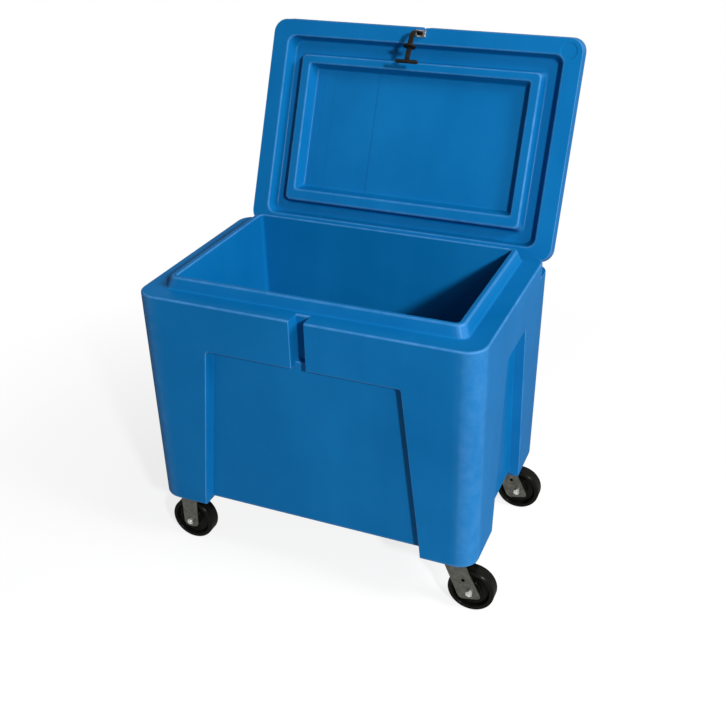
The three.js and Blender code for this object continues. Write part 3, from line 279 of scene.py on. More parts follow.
def moulded_plastic(name, seams=(), seam_heights=None, dimple_at=None):
    """Satin blue skin; the lid also has faint dark seams across X and a round dimple."""
    finish = Finish(name, Specular_IOR_Level=0.0, Coat_Roughness=0.26)
    cloud = finish.noise(CLOUDS_PER_METRE, 4.0, 0.5)
    streak = finish.noise(STREAKS_PER_METRE, 3.0, 0.5, (1.0, 1.0, 0.12))
    grain = finish.noise(GRAINS_PER_METRE, 2.0, 0.6)
    patch = finish.noise(PATCHES_PER_METRE, 5.0, 0.62)
    mottle = cloud * CLOUD_SHARE + streak * (1 - CLOUD_SHARE)
    share = finish.ramp(mottle, (0.32, 0.0), (0.7, 1.0))
    body = finish.blend(share, PLASTIC_DEEP, PLASTIC_MID)
    edge = finish.add("ShaderNodeAttribute", {"attribute_name": "edge"}, {}, "Fac")
    # Convex edges are painted paler here: part rubbed wear, part painted highlight.
    edge_wear_and_highlight = finish.ramp(edge, (0.1, 0.0), (0.4, 0.2), (0.95, 0.46))
    rubbed_and_highlit_share = edge_wear_and_highlight * finish.ramp(patch, (0.32, 0.4), (0.7, 1.0))
    height = finish.noise(RIPPLES_PER_METRE, 2.0, 0.4) * 0.5
    for place, depth in seams:
        off = finish.span_along_x(float(placed((place, 0, 0))[0])) + patch * SEAM_WANDER
        line = (SEAM_LEVEL - off * SEAM_FALL_PER_METRE).clipped()
        near = line * finish.between_heights(*seam_heights) * depth
        body = finish.blend(near, body, PLASTIC_SEAM)
        height = height - near * SEAM_DENT
    if dimple_at is not None:
        rise = finish.ramp(finish.span_from(dimple_at) * DIMPLE_SCALE, (0.5, 0.0), (0.58, 1.0))
        height = height + rise * DIMPLE_HEIGHT
    colour = finish.blend(rubbed_and_highlit_share, body, PLASTIC_WORN_AND_HIGHLIT)
    rough = 0.34 + patch * 0.12 + grain * 0.06
    ripple = finish.shape(height, 0.004, 0.4)
    skin = finish.shape(grain, 0.00025, 0.5, ripple)
    gleam = 0.07 + patch * 0.07
    return finish.finish_with(Base_Color=colour, Roughness=rough, Normal=skin, Coat_Weight=gleam)


SEAMS_ACROSS = ((-143.0, 0.6), (-305.0, 0.25), (-346.0, 0.22))
SEAM_ENDS, PAN_FLOOR = (190.0, -232.0), 997.5
SEAM_HEIGHTS = tuple(
    float(placed(opened(np.array([0, y, PAN_FLOOR])))[2]) for y in SEAM_ENDS)
DIMPLE_PLACE = placed(opened(np.array([502.0, -341.0, 958.5])))
box_plastic = moulded_plastic("box_plastic")
lid_plastic = moulded_plastic("lid_plastic", SEAMS_ACROSS, SEAM_HEIGHTS, DIMPLE_PLACE)
print("finishes", box_plastic.name, lid_plastic.name)

# %% [markdown]
# Steel comes in three looks here: bright stainless for hinge and latch, dull zinc plate on
# the pressed caster forks, and brighter zinc on bolts and nuts.

# %% Metals
def plated_steel(name, pale, dark, rough, grain_scale, stretch):
    """Metal whose colour and gloss wander in soft patches, with fine lines along `stretch`."""
    finish = Finish(name, Metallic=1.0)
    patch = finish.noise(60.0, 5.0, 0.6)
    lines = finish.noise(grain_scale, 2.0, 0.5, stretch)
    colour = finish.blend(finish.ramp(patch, (0.3, 0.0), (0.7, 1.0)), dark, pale)
    gloss = rough + patch * 0.16 + lines * 0.08
    brushed = finish.shape(lines, 0.0002, 0.4)
    return finish.finish_with(Base_Color=colour, Roughness=gloss, Normal=brushed)


stainless = plated_steel(
    "stainless_steel", shade(0.4, 0.38, 0.37), shade(0.24, 0.23, 0.22), 0.28, 300.0, (1, 8, 8))
zinc = plated_steel(
    "zinc_plated_steel", shade(0.125, 0.125, 0.11), shade(0.06, 0.06, 0.052), 0.34, 160.0, (1, 1, 3))
bright_zinc = plated_steel(
    "bright_zinc", shade(0.62, 0.63, 0.6), shade(0.4, 0.41, 0.39), 0.36, 240.0, (1, 1, 1))
print("metals", stainless.name, zinc.name, bright_zinc.name)

# %% [markdown]
# The wheels are hard black rubber with floor dust in their tread and dish; the strap is soft
# rubber with a matt bloom.

# %% Rubbers and the unseen filling
def black_rubber(name, deep, dusty, rough, dust_share):
    """Near-black rubber, with pale dust lying in broad patches."""
    finish = Finish(name, Specular_IOR_Level=0.0, Coat_Roughness=0.2)
    dust = finish.ramp(finish.noise(38.0, 6.0, 0.65), (0.45, 0.0), (0.85, 1.0))
    pores = finish.noise(900.0, 2.0, 0.5)
    colour = finish.blend((dust * dust_share).clipped(), deep, dusty)
    gloss = rough + dust * 0.2 + pores * 0.06
    skin = finish.shape(pores, 0.0002, 0.5)
    gleam = 0.14 - dust * 0.1
    return finish.finish_with(Base_Color=colour, Roughness=gloss, Normal=skin, Coat_Weight=gleam)


wheel_rubber = black_rubber(
    "wheel_rubber", shade(0.003, 0.003, 0.0025), shade(0.036, 0.033, 0.027), 0.2, 0.3)
strap_rubber = black_rubber(
    "strap_rubber", shade(0.010, 0.009, 0.008), shade(0.045, 0.04, 0.035), 0.34, 0.4)


def rigid_foam():
    finish = Finish("rigid_foam", Roughness=0.9)
    cells = finish.noise(700.0, 2.0, 0.5)
    colour = finish.blend(cells, shade(0.72, 0.62, 0.36), shade(0.86, 0.78, 0.52))
    return finish.finish_with(Base_Color=colour, Normal=finish.shape(cells, 0.0006, 0.6))


foam = rigid_foam()
print("finishes", [m.name for m in bpy.data.materials])

# %% Finishes for the carried-over nodes, by material slot
FINISH_OF_SLOT = {
    "blue_plastic": box_plastic,
    "blue_plug": box_plastic,
    "insulating_foam": foam,
    "black_rubber": strap_rubber,
    "stainless_steel": stainless,
    "zinc_steel": zinc,
    "bright_bolts": bright_zinc,
    "black_wheel": wheel_rubber,
}
for row in frame["record"]["subparts"]:
    node = frame["nodes"][row["node"]]
    for slot in node.material_slots:
        slot.material = FINISH_OF_SLOT[row["material_slot"]]

# %% [markdown]
# Moulded edges are never sharp. One helper rounds the corners of any polyline of numbers,
# whatever they mean: each corner is replaced by a short quadratic curve that leaves and
# joins the straight runs smoothly, with a close pair of rows before and after it.

# %% Softened corners
LONGEST_SHARE = 0.45
CLOSE_ROW = 1.1


def softened(corners, reach, steps, measure):
    """Each corner c between a and b becomes (1-t)^2 a' + 2t(1-t) c + t^2 b', where a' and b'
    lie `reach` away from c along the two runs, measured on the columns in `measure`."""
    corners = np.asarray(corners, float)
    reach = np.broadcast_to(reach, len(corners))
    rows = [corners[0]]
    share = np.linspace(0, 1, steps + 1)[:, None]
    for place in range(1, len(corners) - 1):
        before, here, after = corners[place - 1:place + 2]
        back = np.linalg.norm((here - before)[measure])
        ahead = np.linalg.norm((after - here)[measure])
        near = min(reach[place], back * LONGEST_SHARE, ahead * LONGEST_SHARE)
        start = here + (before - here) * near / back
        end = here + (after - here) * near / ahead
        curve = (1 - share) ** 2 * start + 2 * share * (1 - share) * here + share ** 2 * end
        rows.append(here + (before - here) * near * CLOSE_ROW / back)
        rows.extend(curve)
        rows.append(here + (after - here) * near * CLOSE_ROW / ahead)
    rows.append(corners[-1])
    return np.array(rows)


def filled(rows, spacing, measure):
    """Adds evenly spaced rows wherever two rows lie further apart than `spacing`."""
    gaps = np.linalg.norm(np.diff(rows[:, measure], axis=0), axis=1)
    counts = np.maximum(1, np.ceil(gaps / spacing)).astype(int)
    place = np.concatenate([np.arange(n) / n + k for k, n in enumerate(counts)] + [[len(rows) - 1.0]])
    return np.stack([np.interp(place, np.arange(len(rows)), column) for column in rows.T], -1)


# %% Meshes from grids of points
MERGE_REACH = 0.00004
SHORTEST = 1e-9
FULL_BEND = 0.1


def closed_part(points):
    """One grid of packed points, wrapped along its columns, as a clean part facing out."""
    data = bpy.data.meshes.new("part")
    data.from_pydata(points.reshape(-1, 3).tolist(), [], grid_faces(*points.shape[:2]).tolist())
    data.validate()
    work = bmesh.new()
    work.from_mesh(data)
    bmesh.ops.remove_doubles(work, verts=work.verts, dist=MERGE_REACH)
    bmesh.ops.dissolve_degenerate(work, edges=work.edges, dist=MERGE_REACH)
    if work.calc_volume(signed=True) < 0:
        bmesh.ops.reverse_faces(work, faces=work.faces)
    loose = sum(len(edge.link_faces) != 2 for edge in work.edges)
    work.to_mesh(data)
    work.free()
    return data, loose


def mesh_piece(name, grids, finish, body, replaces):
    """A piece from one or more closed grids in packed metres, smooth, that takes the place
    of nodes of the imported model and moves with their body."""
    whole = bmesh.new()
    loose = 0
    for points in grids:
        part, open_edges = closed_part(points)
        whole.from_mesh(part)
        bpy.data.meshes.remove(part)
        loose += open_edges
    data = bpy.data.meshes.new(name)
    whole.to_mesh(data)
    whole.free()
    data.polygons.foreach_set("use_smooth", np.ones(len(data.polygons), bool))
    mark_edges(data)
    data.materials.append(finish)
    piece = bpy.data.objects.new(name, data)
    bpy.context.scene.collection.objects.link(piece)
    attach(piece, body)
    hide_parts(*replaces)
    print(name, "faces", len(data.polygons), "open edges", loose)
    return piece


def mark_edges(data):
    """Stores how convex each point is: the mean drop of its neighbours below its normal,
    as a share of their distance, scaled so that FULL_BEND gives one."""
    count = len(data.vertices)
    place = np.empty(count * 3)
    data.vertices.foreach_get("co", place)
    place = place.reshape(-1, 3)
    normal = np.empty(count * 3)
    data.vertices.foreach_get("normal", normal)
    normal = normal.reshape(-1, 3)
    ends = np.empty(len(data.edges) * 2, int)
    data.edges.foreach_get("vertices", ends)
    ends = ends.reshape(-1, 2)
    total = np.zeros(count)
    seen = np.zeros(count)
    for here, there in ((0, 1), (1, 0)):
        step = place[ends[:, here]] - place[ends[:, there]]
        length = np.maximum(np.linalg.norm(step, axis=1), SHORTEST)
        drop = (step * normal[ends[:, here]]).sum(1) / length
        np.add.at(total, ends[:, here], np.maximum(drop, 0))
        np.add.at(seen, ends[:, here], 1)
    share = np.clip(total / np.maximum(seen, 1) / FULL_BEND, 0, 1)
    layer = data.attributes.new("edge", "FLOAT", "POINT")
    layer.data.foreach_set("value", share.astype(np.float32))


def grid_faces(rows, columns, wrap=True):
    """Quads between neighbouring rows and columns; `wrap` joins the last column to the first."""
    row = np.arange(rows - 1)[:, None]
    column = np.arange(columns if wrap else columns - 1)[None]
    after = (column + 1) % columns
    corners = [row * columns + column, row * columns + after, (row + 1) * columns + after,
               (row + 1) * columns + column]
    return np.stack(np.broadcast_arrays(*corners), -1).reshape(-1, 4)


# %% [markdown]
# The box and the lid are both stacks of rounded rectangles. A row says how wide and deep its
# rectangle is and how high it lies; a column is a station on the rectangle. Panels, feet and
# slots are sunk by moving stations inwards, and stations follow each slanting panel edge, so
# that every edge runs along the grid and stays clean.

# %% Rounded rectangles with marked stations
CORNER_STATIONS = 9
HALF_WIDTH, FRONT, BACK, FRONT_CORNER, BACK_CORNER, MIDDLE, HEIGHT, LOW, STEP, SUNK = range(10)


def half_stations(rows, marks, limit, spacing):
    """Distances from the middle of a side, one column per station, growing outwards.

    marks is a list of (place per row, offsets, spread after it); the gaps between marked
    groups and up to the corner are filled evenly, and no station passes `limit`."""
    groups = [np.zeros((rows, 1))]
    for place, offsets in marks:
        wanted = place[:, None] + offsets[None]
        groups.append(between(groups[-1][:, -1], wanted[:, 0], spacing))
        groups.append(wanted)
    groups.append(between(groups[-1][:, -1], limit, spacing))
    groups.append(limit[:, None])
    return np.minimum(np.concatenate(groups, 1), limit[:, None])


def between(start, end, spacing):
    """Even stations strictly between two places, as many as the widest row needs."""
    count = int(np.ceil(np.max(end - start) / spacing))
    share = np.arange(1, count) / max(count, 1)
    return start[:, None] + (end - start)[:, None] * share[None]


def mirrored(half):
    """A whole side from its half: the mirror image, the middle, and the half itself."""
    return np.concatenate([-half[:, :0:-1], half], 1)


def rectangle_grid(profile, long_marks, side_marks, spacing):
    """Points of every rounded rectangle, x and y apart, and the side each column lies on:
    front, right, back, left, a front corner or a back corner. The side stations start from
    the row's own middle."""
    rows = len(profile)
    hx, y0, y1 = profile[:, HALF_WIDTH], profile[:, FRONT], profile[:, BACK]
    rf, rb = profile[:, FRONT_CORNER], profile[:, BACK_CORNER]
    middle = profile[:, MIDDLE]
    front = mirrored(half_stations(rows, long_marks, hx - rf, spacing))
    back = mirrored(half_stations(rows, long_marks, hx - rb, spacing))
    fore = half_stations(rows, side_marks, middle - y0 - rf, spacing)
    aft = half_stations(rows, side_marks, y1 - rb - middle, spacing)
    side = np.concatenate([middle[:, None] - fore[:, :0:-1], middle[:, None] + aft], 1)
    turn = np.linspace(0, math.pi / 2, CORNER_STATIONS + 1)[None, 1:-1]
    cos, sin = np.cos(turn), np.sin(turn)
    wide = np.ones_like(front)
    parts = [
        (front, y0[:, None] * wide, 0),
        ((hx - rf)[:, None] + rf[:, None] * sin, (y0 + rf)[:, None] - rf[:, None] * cos, 4),
        (hx[:, None] * np.ones_like(side), side, 1),
        ((hx - rb)[:, None] + rb[:, None] * cos, (y1 - rb)[:, None] + rb[:, None] * sin, 5),
        (back[:, ::-1], y1[:, None] * wide, 2),
        (-(hx - rb)[:, None] - rb[:, None] * sin, (y1 - rb)[:, None] + rb[:, None] * cos, 5),
        (-hx[:, None] * np.ones_like(side), side[:, ::-1], 3),
        (-(hx - rf)[:, None] - rf[:, None] * cos, (y0 + rf)[:, None] - rf[:, None] * sin, 4),
    ]
    x = np.concatenate([part[0] for part in parts], 1)
    y = np.concatenate([part[1] for part in parts], 1)
    kind = np.concatenate([np.full(part[0].shape[1], part[2]) for part in parts])
    return x, y, kind


# %% [markdown]
# The box. Its walls lean in slightly towards the floor so that it leaves its mould. Between
# the legs the walls are sunk, a slot in the front band takes the latch strap, and a step
# along the back holds the hinge. The profile below runs from the middle of the underside,
# round the feet, up the wall, over the rim and down inside to the middle of the floor.

# %% Box sizes
BOX_HALF_WIDTH, BOX_HALF_DEPTH = 546.0, 394.5
SHELF, RIM_TOP, LEDGE, PANEL_TOP, BASE, FOOT = 957.0, 994.0, 904.0, 799.0, 221.0, 204.0
DRAFT_SHARE = 0.028
BOX_CORNER, RISER_CORNER, RISER_BACK = 62.0, 50.0, 322.0
PANEL_DEPTH, PANEL_RUN, PANEL_SOFTNESS = 33.0, 9.0, 3.5
SLOT_HALF, SLOT_MIDDLE, SLOT_DEPTH, SLOT_FLOOR = 24.0, -4.0, 50.0, 809.0
SLOT_RUN, SLOT_SOFTNESS, SLOT_LIP, SLOT_ZONE = 1.0, 2.0, 7.0, 739.0
SLOT_SHIFT_FULL, SLOT_SHIFT_END = 80.0, 200.0
FRONT_LEG = (313.0, 375.0)
SIDE_LEG = (107.0, 165.0)
FOOT_LEAN = 5.0
FLOOR = 288.0
RIM_ROOT = (480.0, -326.0, 288.0, 26.0)
RIM_CREST = (466.0, -315.0, 278.0, 26.0)
RIM_MOUTH = (448.0, -300.0, 263.0, 12.0)
FLOOR_EDGE = (424.0, -276.0, 239.0, 12.0)
TIGHT_CORNER = 3.0
LEDGE_HALF_STEP = 6.0
BOX_SPACING = 46.0


def wall_depth(height):
    return BOX_HALF_DEPTH - DRAFT_SHARE * (SHELF - height)


def foot_row(half_width, half_depth, leg, channel):
    """A ring of the underside: its corners follow the feet, its sides cross the channels."""
    corner = min(TIGHT_CORNER, half_depth)
    return [half_width, -half_depth, half_depth, corner, corner, 0.0, leg, channel, leg, 0.0]


def wall_row(high, height, low=None, step=None, sunk=0.0, riser=False):
    """A ring of the outer wall, as deep as the wall is at `high`; `low` is the height of its
    panel stations and `step` that of its back stations, where they differ."""
    depth = wall_depth(high)
    back = RISER_BACK if riser else depth
    back_corner = RISER_CORNER if riser else BOX_CORNER
    low = height if low is None else low
    step = height if step is None else step
    return [BOX_HALF_WIDTH, -depth, back, BOX_CORNER, back_corner, 0.0, height, low, step, sunk]


def rim_row(half_width, front, back, corner, height):
    middle = (front + back) / 2
    return [half_width, front, back, corner, corner, middle, height, height, height, 0.0]


def closing_row(half_width, front, back, height):
    """The line in which a flat rectangle closes: as long as its width passes its depth."""
    middle = (front + back) / 2
    return rim_row(half_width - (back - front) / 2, middle, middle, 0.0, height)


def box_profile():
    corners = [
        foot_row(FRONT_LEG[1] - SIDE_LEG[1], 0.0, BASE, BASE),
        foot_row(FRONT_LEG[1], SIDE_LEG[1], BASE, BASE),
        foot_row(FRONT_LEG[1] + FOOT_LEAN, SIDE_LEG[1] + FOOT_LEAN, FOOT, BASE),
        wall_row(FOOT, FOOT, low=BASE, sunk=1.0),
        wall_row(PANEL_TOP - PANEL_RUN, PANEL_TOP - PANEL_RUN, sunk=1.0),
        wall_row(PANEL_TOP, PANEL_TOP),
        wall_row(SLOT_FLOOR + 2, SLOT_FLOOR + 2),
        wall_row(LEDGE, LEDGE - LEDGE_HALF_STEP, step=LEDGE),
        wall_row(LEDGE, LEDGE + LEDGE_HALF_STEP, step=LEDGE, riser=True),
        wall_row(SHELF, SHELF, riser=True),
        rim_row(*RIM_ROOT, SHELF),
        rim_row(*RIM_CREST, RIM_TOP),
        rim_row(*RIM_MOUTH, RIM_TOP),
        rim_row(*FLOOR_EDGE, FLOOR),
        closing_row(*FLOOR_EDGE[:3], FLOOR),
    ]
    reaches = [0, 4, 4, 15, 7, 7, 3, 8, 6, 9, 8, 9, 7, 22, 0]
    rows = softened(corners, reaches, 5, [HALF_WIDTH, FRONT, BACK, HEIGHT, STEP, SUNK])
    return filled(rows, BOX_SPACING, [HALF_WIDTH, HEIGHT])


box_rows = box_profile()
print("box rows", len(box_rows))

# %% Stations across a panel edge
def panel_step(run, depth, reach):
    """Offsets along the wall and shares of depth across one softened panel edge, inside
    first: flat at full depth, a steep slope over `run`, and flat on the wall."""
    far = reach * 1.5
    rows = softened([[-run - far, 1.0 * depth], [-run, depth], [0, 0], [far, 0]], reach, 4, [0, 1])
    return rows[:, 0], rows[:, 1] / depth


LEG_OFFSETS, LEG_SHARES = panel_step(PANEL_RUN, PANEL_DEPTH, PANEL_SOFTNESS)
SLOT_OFFSETS, SLOT_SHARES = panel_step(SLOT_RUN, PANEL_DEPTH, SLOT_SOFTNESS)


def slanting(heights, halves):
    """Half width of a panel at each height: straight from its foot to its top."""
    return np.interp(heights, [BASE, PANEL_TOP], [halves[1], halves[0]])


def share_at(distance, edge, offsets, shares):
    """Sunk share at each distance from the middle, given where the edge is in each row."""
    return np.interp(distance - edge, offsets, shares)


# %% Box surface
def box_points():
    """Rounded rectangles from the profile, then: stations between panel edges move inwards
    by the panel depth times the row's share; slot stations by what is left of the slot's
    depth, and the slot's middle shifts a little, with the shift fading out to both sides;
    each station takes the height of leg, panel or hinge step by its own share."""
    rows = box_rows
    height = rows[:, HEIGHT]
    long_edge = slanting(height, FRONT_LEG)
    side_edge = slanting(height, SIDE_LEG)
    slot_edge = np.full(len(rows), SLOT_HALF)
    long_marks = [(slot_edge, SLOT_OFFSETS), (long_edge, LEG_OFFSETS)]
    x, y, kind = rectangle_grid(rows, long_marks, [(side_edge, LEG_OFFSETS)], BOX_SPACING)
    on_long = (kind == 0) | (kind == 2)
    on_side = (kind == 1) | (kind == 3)
    panel = np.zeros_like(x)
    panel[:, on_long] = share_at(abs(x[:, on_long]), long_edge[:, None], LEG_OFFSETS, LEG_SHARES)
    panel[:, on_side] = share_at(abs(y[:, on_side]), side_edge[:, None], LEG_OFFSETS, LEG_SHARES)
    slot = np.zeros_like(x)
    slot[:, kind == 0] = share_at(abs(x[:, kind == 0]), slot_edge[:, None], SLOT_OFFSETS, SLOT_SHARES)
    from_front = rows[:, FRONT] + BOX_HALF_DEPTH
    slot_depth = np.interp(height, [SLOT_FLOOR - 1, SLOT_FLOOR + 4], [PANEL_DEPTH, SLOT_DEPTH])
    passed = np.maximum(from_front - SLOT_LIP, 0)
    left_over = np.maximum(slot_depth - passed, 0) * (height > SLOT_ZONE)
    sunk = np.maximum(PANEL_DEPTH * panel * rows[:, SUNK, None], slot * left_over[:, None])
    fade = np.clip((SLOT_SHIFT_END - abs(x)) / (SLOT_SHIFT_END - SLOT_SHIFT_FULL), 0, 1)
    x = x + SLOT_MIDDLE * (fade * (kind == 0) * (height > SLOT_ZONE)[:, None])
    inward_x = np.where(kind == 1, -1, np.where(kind == 3, 1, 0))
    inward_y = np.where(kind == 0, 1, np.where(kind == 2, -1, 0))
    behind = ((kind == 2) | (kind == 5)).astype(float)
    z = height[:, None] + (rows[:, LOW] - height)[:, None] * panel
    z = z + (rows[:, STEP] - height)[:, None] * behind
    return np.stack([x + inward_x * sunk, y + inward_y * sunk, z], -1)


# %% [markdown]
# Knuckles stand on the hinge step and lugs hang from the lid between them, all on one rod.
# Each is a bar with the outline of its plate, pillowed a little at both ends as moulded
# lumps are.

# %% Hinge knuckles and lugs
HINGE_HALF_LENGTH = 520.0
BARREL_RADIUS = 13.0
HINGE_BAR_EDGE = 2.0
KNUCKLE_FOOT, KNUCKLE_SINK = (324.3, 354.3), 4.0
LUG_ROOT = ((333.0, 966.5), (323.5, 961.5))
KNUCKLE_ENDS = ((-0.98, -0.865), (-0.385, -0.23), (0.23, 0.385), (0.865, 0.98))
LUG_ENDS = ((-0.858, -0.704), (-0.55, -0.392), (-0.215, 0.215), (0.392, 0.55), (0.704, 0.858))


def round_hinge(start_degrees, end_degrees, steps=14):
    """An arc of the hinge barrel in y and z."""
    turn = np.radians(np.linspace(start_degrees, end_degrees, steps + 1))
    back = HINGE_BACK + BARREL_RADIUS * np.cos(turn)
    return np.stack([back, HINGE_HEIGHT + BARREL_RADIUS * np.sin(turn)], -1)


def bar_along_x(outline, start, end, edge, steps=4):
    """A bar with one outline in y and z: near each end the outline draws in towards its
    middle by the edge radius times one minus the sine, while x runs by one minus the cosine."""
    middle = outline.mean(0)
    reach = np.linalg.norm(outline - middle, axis=1).max()
    turn = np.linspace(0, math.pi / 2, steps + 1)
    share = 1 - edge * (1 - np.sin(turn)) / reach
    along = edge * (1 - np.cos(turn))
    shares = np.concatenate([[0], share, share[::-1], [0]])
    places = np.concatenate([[start], start + along, end - along[::-1], [end]])
    section = middle + (outline - middle)[None] * shares[:, None, None]
    x = np.broadcast_to(places[:, None], section.shape[:2])
    return np.stack([x, section[..., 0], section[..., 1]], -1)


def hinge_bars(outline, ends):
    spans = np.array(ends) * HINGE_HALF_LENGTH
    return [bar_along_x(outline, start, end, HINGE_BAR_EDGE) for start, end in spans]


knuckle_foot = [[y, LEDGE - KNUCKLE_SINK] for y in KNUCKLE_FOOT]
knuckle_outline = np.concatenate([knuckle_foot, round_hinge(0, 180)])
lug_outline = np.concatenate([LUG_ROOT, round_hinge(180, 405)])
box_grids = [placed(box_points())] + [placed(bar) for bar in hinge_bars(knuckle_outline, KNUCKLE_ENDS)]
box_skin = mesh_piece("box_skin", box_grids, box_plastic, "box", ["body_shell"])

# %% [markdown]
# The lid is one hollow moulding too. Seen open it shows its underside: an outer land, a deep
# groove that drops over the rim, and a raised frame round a sunken pan. It is drawn closed
# and swung open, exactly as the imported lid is.

# %% Lid surface
LID_HALF_WIDTH, LID_FRONT, LID_BACK, LID_CORNER = 548.0, -397.0, 336.0, 46.0
LID_UNDER_FRONT, LID_TOP_EDGE, LID_UNDER_EDGE = -383.0, 16.0, 5.0
LID_UNDER, LID_THICK = 958.5, 76.5
NOTCH_HALF, NOTCH_DEPTH, NOTCH_RUN, NOTCH_SOFTNESS = 12.0, 15.0, 0.5, 3.0
CROWN_BAND, CROWN_DEPTH, CROWN_RUN = 78.0, 6.0, 8.0
GROOVE_DEPTH, PAN_DEPTH = 38.0, 39.0
GROOVE_MOUTH = (490.0, -328.5, 293.0, 30.0)
GROOVE_ROOT = (471.0, -320.0, 283.0, 30.0)
PLUG_ROOT = (435.0, -275.0, 247.0, 16.0)
PLUG_TIP = (426.5, -267.0, 239.0, 16.0)
PAN_MOUTH = (395.5, -239.5, 201.0, 10.0)
PAN_ROOT = (377.0, -226.0, 184.0, 10.0)
LID_SPACING = 46.0


def lid_row(inset, height, front=LID_FRONT):
    corner = max(LID_CORNER - inset, TIGHT_CORNER)
    return rim_row(LID_HALF_WIDTH - inset, front + inset, LID_BACK - inset, corner, height)


def lid_profile():
    top = LID_UNDER + LID_THICK
    corners = [
        closing_row(LID_HALF_WIDTH, LID_FRONT, LID_BACK, top - CROWN_DEPTH),
        lid_row(CROWN_BAND + CROWN_RUN, top - CROWN_DEPTH),
        lid_row(CROWN_BAND, top),
        lid_row(LID_TOP_EDGE, top),
        lid_row(LID_TOP_EDGE / 4, top - LID_TOP_EDGE / 4),
        lid_row(0, top - LID_TOP_EDGE),
        lid_row(0, LID_UNDER + LID_UNDER_EDGE, LID_UNDER_FRONT),
        lid_row(0, LID_UNDER, LID_UNDER_FRONT),
        rim_row(*GROOVE_MOUTH, LID_UNDER),
        rim_row(*GROOVE_ROOT, LID_UNDER + GROOVE_DEPTH),
        rim_row(*PLUG_ROOT, LID_UNDER + GROOVE_DEPTH),
        rim_row(*PLUG_TIP, LID_UNDER),
        rim_row(*PAN_MOUTH, LID_UNDER),
        rim_row(*PAN_ROOT, LID_UNDER + PAN_DEPTH),
        closing_row(*PAN_ROOT[:3], LID_UNDER + PAN_DEPTH),
    ]
    reaches = [0, 6, 6, 6, 6, 6, 3, 3, 5, 7, 8, 6, 5, 7, 0]
    rows = softened(corners, reaches, 5, [HALF_WIDTH, HEIGHT])
    return filled(rows, LID_SPACING, [HALF_WIDTH, HEIGHT])


def lid_points():
    """Rounded rectangles from the lid's profile, with the stations of the notch moved back
    to its own depth wherever a row lies in front of that."""
    rows = lid_profile()
    notch_edge = np.full(len(rows), NOTCH_HALF)
    offsets, shares = panel_step(NOTCH_RUN, NOTCH_DEPTH, NOTCH_SOFTNESS)
    x, y, kind = rectangle_grid(rows, [(notch_edge, offsets)], [], LID_SPACING)
    notch = np.zeros_like(x)
    notch[:, kind == 0] = share_at(abs(x[:, kind == 0]), notch_edge[:, None], offsets, shares)
    missing = np.maximum(LID_UNDER_FRONT + NOTCH_DEPTH - rows[:, FRONT], 0)
    y = y + notch * missing[:, None]
    z = np.broadcast_to(rows[:, HEIGHT, None], x.shape)
    return np.stack([x, y, z], -1)


lid_grids = [placed(opened(grid)) for grid in [lid_points()] + hinge_bars(lug_outline, LUG_ENDS)]
lid_skin = mesh_piece("lid_skin", lid_grids, lid_plastic, "lid", ["lid_shell"])

# %% [markdown]
# The latch strap is one rubber moulding: an eye round the clip's pin, a flat band that arches
# out from the lid and hangs down, a round collar to stop it in the slot, and a T handle to
# pull. The band is a soft-cornered section swept along the curve.

# %% Latch strap
PIN_FRONT, PIN_HEIGHT = -363.0, 945.5
STRAP_REACH, STRAP_FALL = 98.0, 112.0
STRAP_PATH_SHARES = np.array([
    [0, 0], [0.22, 0.005], [0.496, 0.03], [0.727, 0.114],
    [0.838, 0.289], [0.898, 0.55], [0.937, 0.747], [1, 1]])
COLLAR_PATH_STEP = 5
STRAP_HALF_WIDTH, STRAP_HALF_THICK = 8.5, 3.0
COLLAR_RADIUS, COLLAR_HALF_THICK = 22.0, 4.0
HANDLE_RADIUS, HANDLE_HALF_LENGTH = 6.5, 38.0
EYE_RADIUS = 6.0
SECTION_STEPS = 24


def soft_section(half_wide, half_thick, squareness):
    """A closed section: cosine and sine, each raised to a small power that squares it."""
    turn = np.linspace(0, 2 * math.pi, SECTION_STEPS, endpoint=False)
    cos, sin = np.cos(turn), np.sin(turn)
    wide = half_wide * np.sign(cos) * np.abs(cos) ** squareness
    thick = half_thick * np.sign(sin) * np.abs(sin) ** squareness
    return np.stack([wide, thick], -1)


def strap_path():
    """Centre of the band in y and z of the closed lid, with its corners softened."""
    out, fall = STRAP_PATH_SHARES.T
    path = np.stack([PIN_FRONT + fall * STRAP_FALL, PIN_HEIGHT - out * STRAP_REACH], -1)
    return softened(path, 12.0, 5, [0, 1]), path


def swept_band(path, section):
    """The section swept along the path: its width stays along x and its thickness follows
    the path's normal; the ends close at their middles."""
    slope = np.gradient(path, axis=0)
    slope /= np.linalg.norm(slope, axis=1)[:, None]
    normal = np.stack([-slope[:, 1], slope[:, 0]], -1)
    ring = path[:, None] + normal[:, None] * section[None, :, 1, None]
    wide = np.broadcast_to(section[None, :, 0], ring.shape[:2])
    band = np.concatenate([wide[..., None], ring], -1)
    return np.concatenate([band[:1] * [0, 1, 1], band, band[-1:] * [0, 1, 1]])


def disc_on_path(path, step, radius, half_thick):
    """A round collar square to the path at one step, with its rim rounded over."""
    ahead = path[step + 1] - path[step - 1]
    ahead /= np.linalg.norm(ahead)
    normal = np.array([-ahead[1], ahead[0]])
    rim = np.linspace(-math.pi / 2, math.pi / 2, 9)
    reach = np.concatenate([[0], radius - half_thick * (1 - np.cos(rim)), [0]])
    along = np.concatenate([[-half_thick], half_thick * np.sin(rim), [half_thick]])
    turn = np.linspace(0, 2 * math.pi, 2 * SECTION_STEPS, endpoint=False)
    x = reach[:, None] * np.cos(turn)
    out = reach[:, None] * np.sin(turn)
    ring = path[step] + along[:, None, None] * ahead + out[..., None] * normal
    return np.concatenate([x[..., None], ring], -1)


def rod_section(centre, radius):
    turn = np.linspace(0, 2 * math.pi, SECTION_STEPS, endpoint=False)
    return centre + radius * np.stack([np.cos(turn), np.sin(turn)], -1)


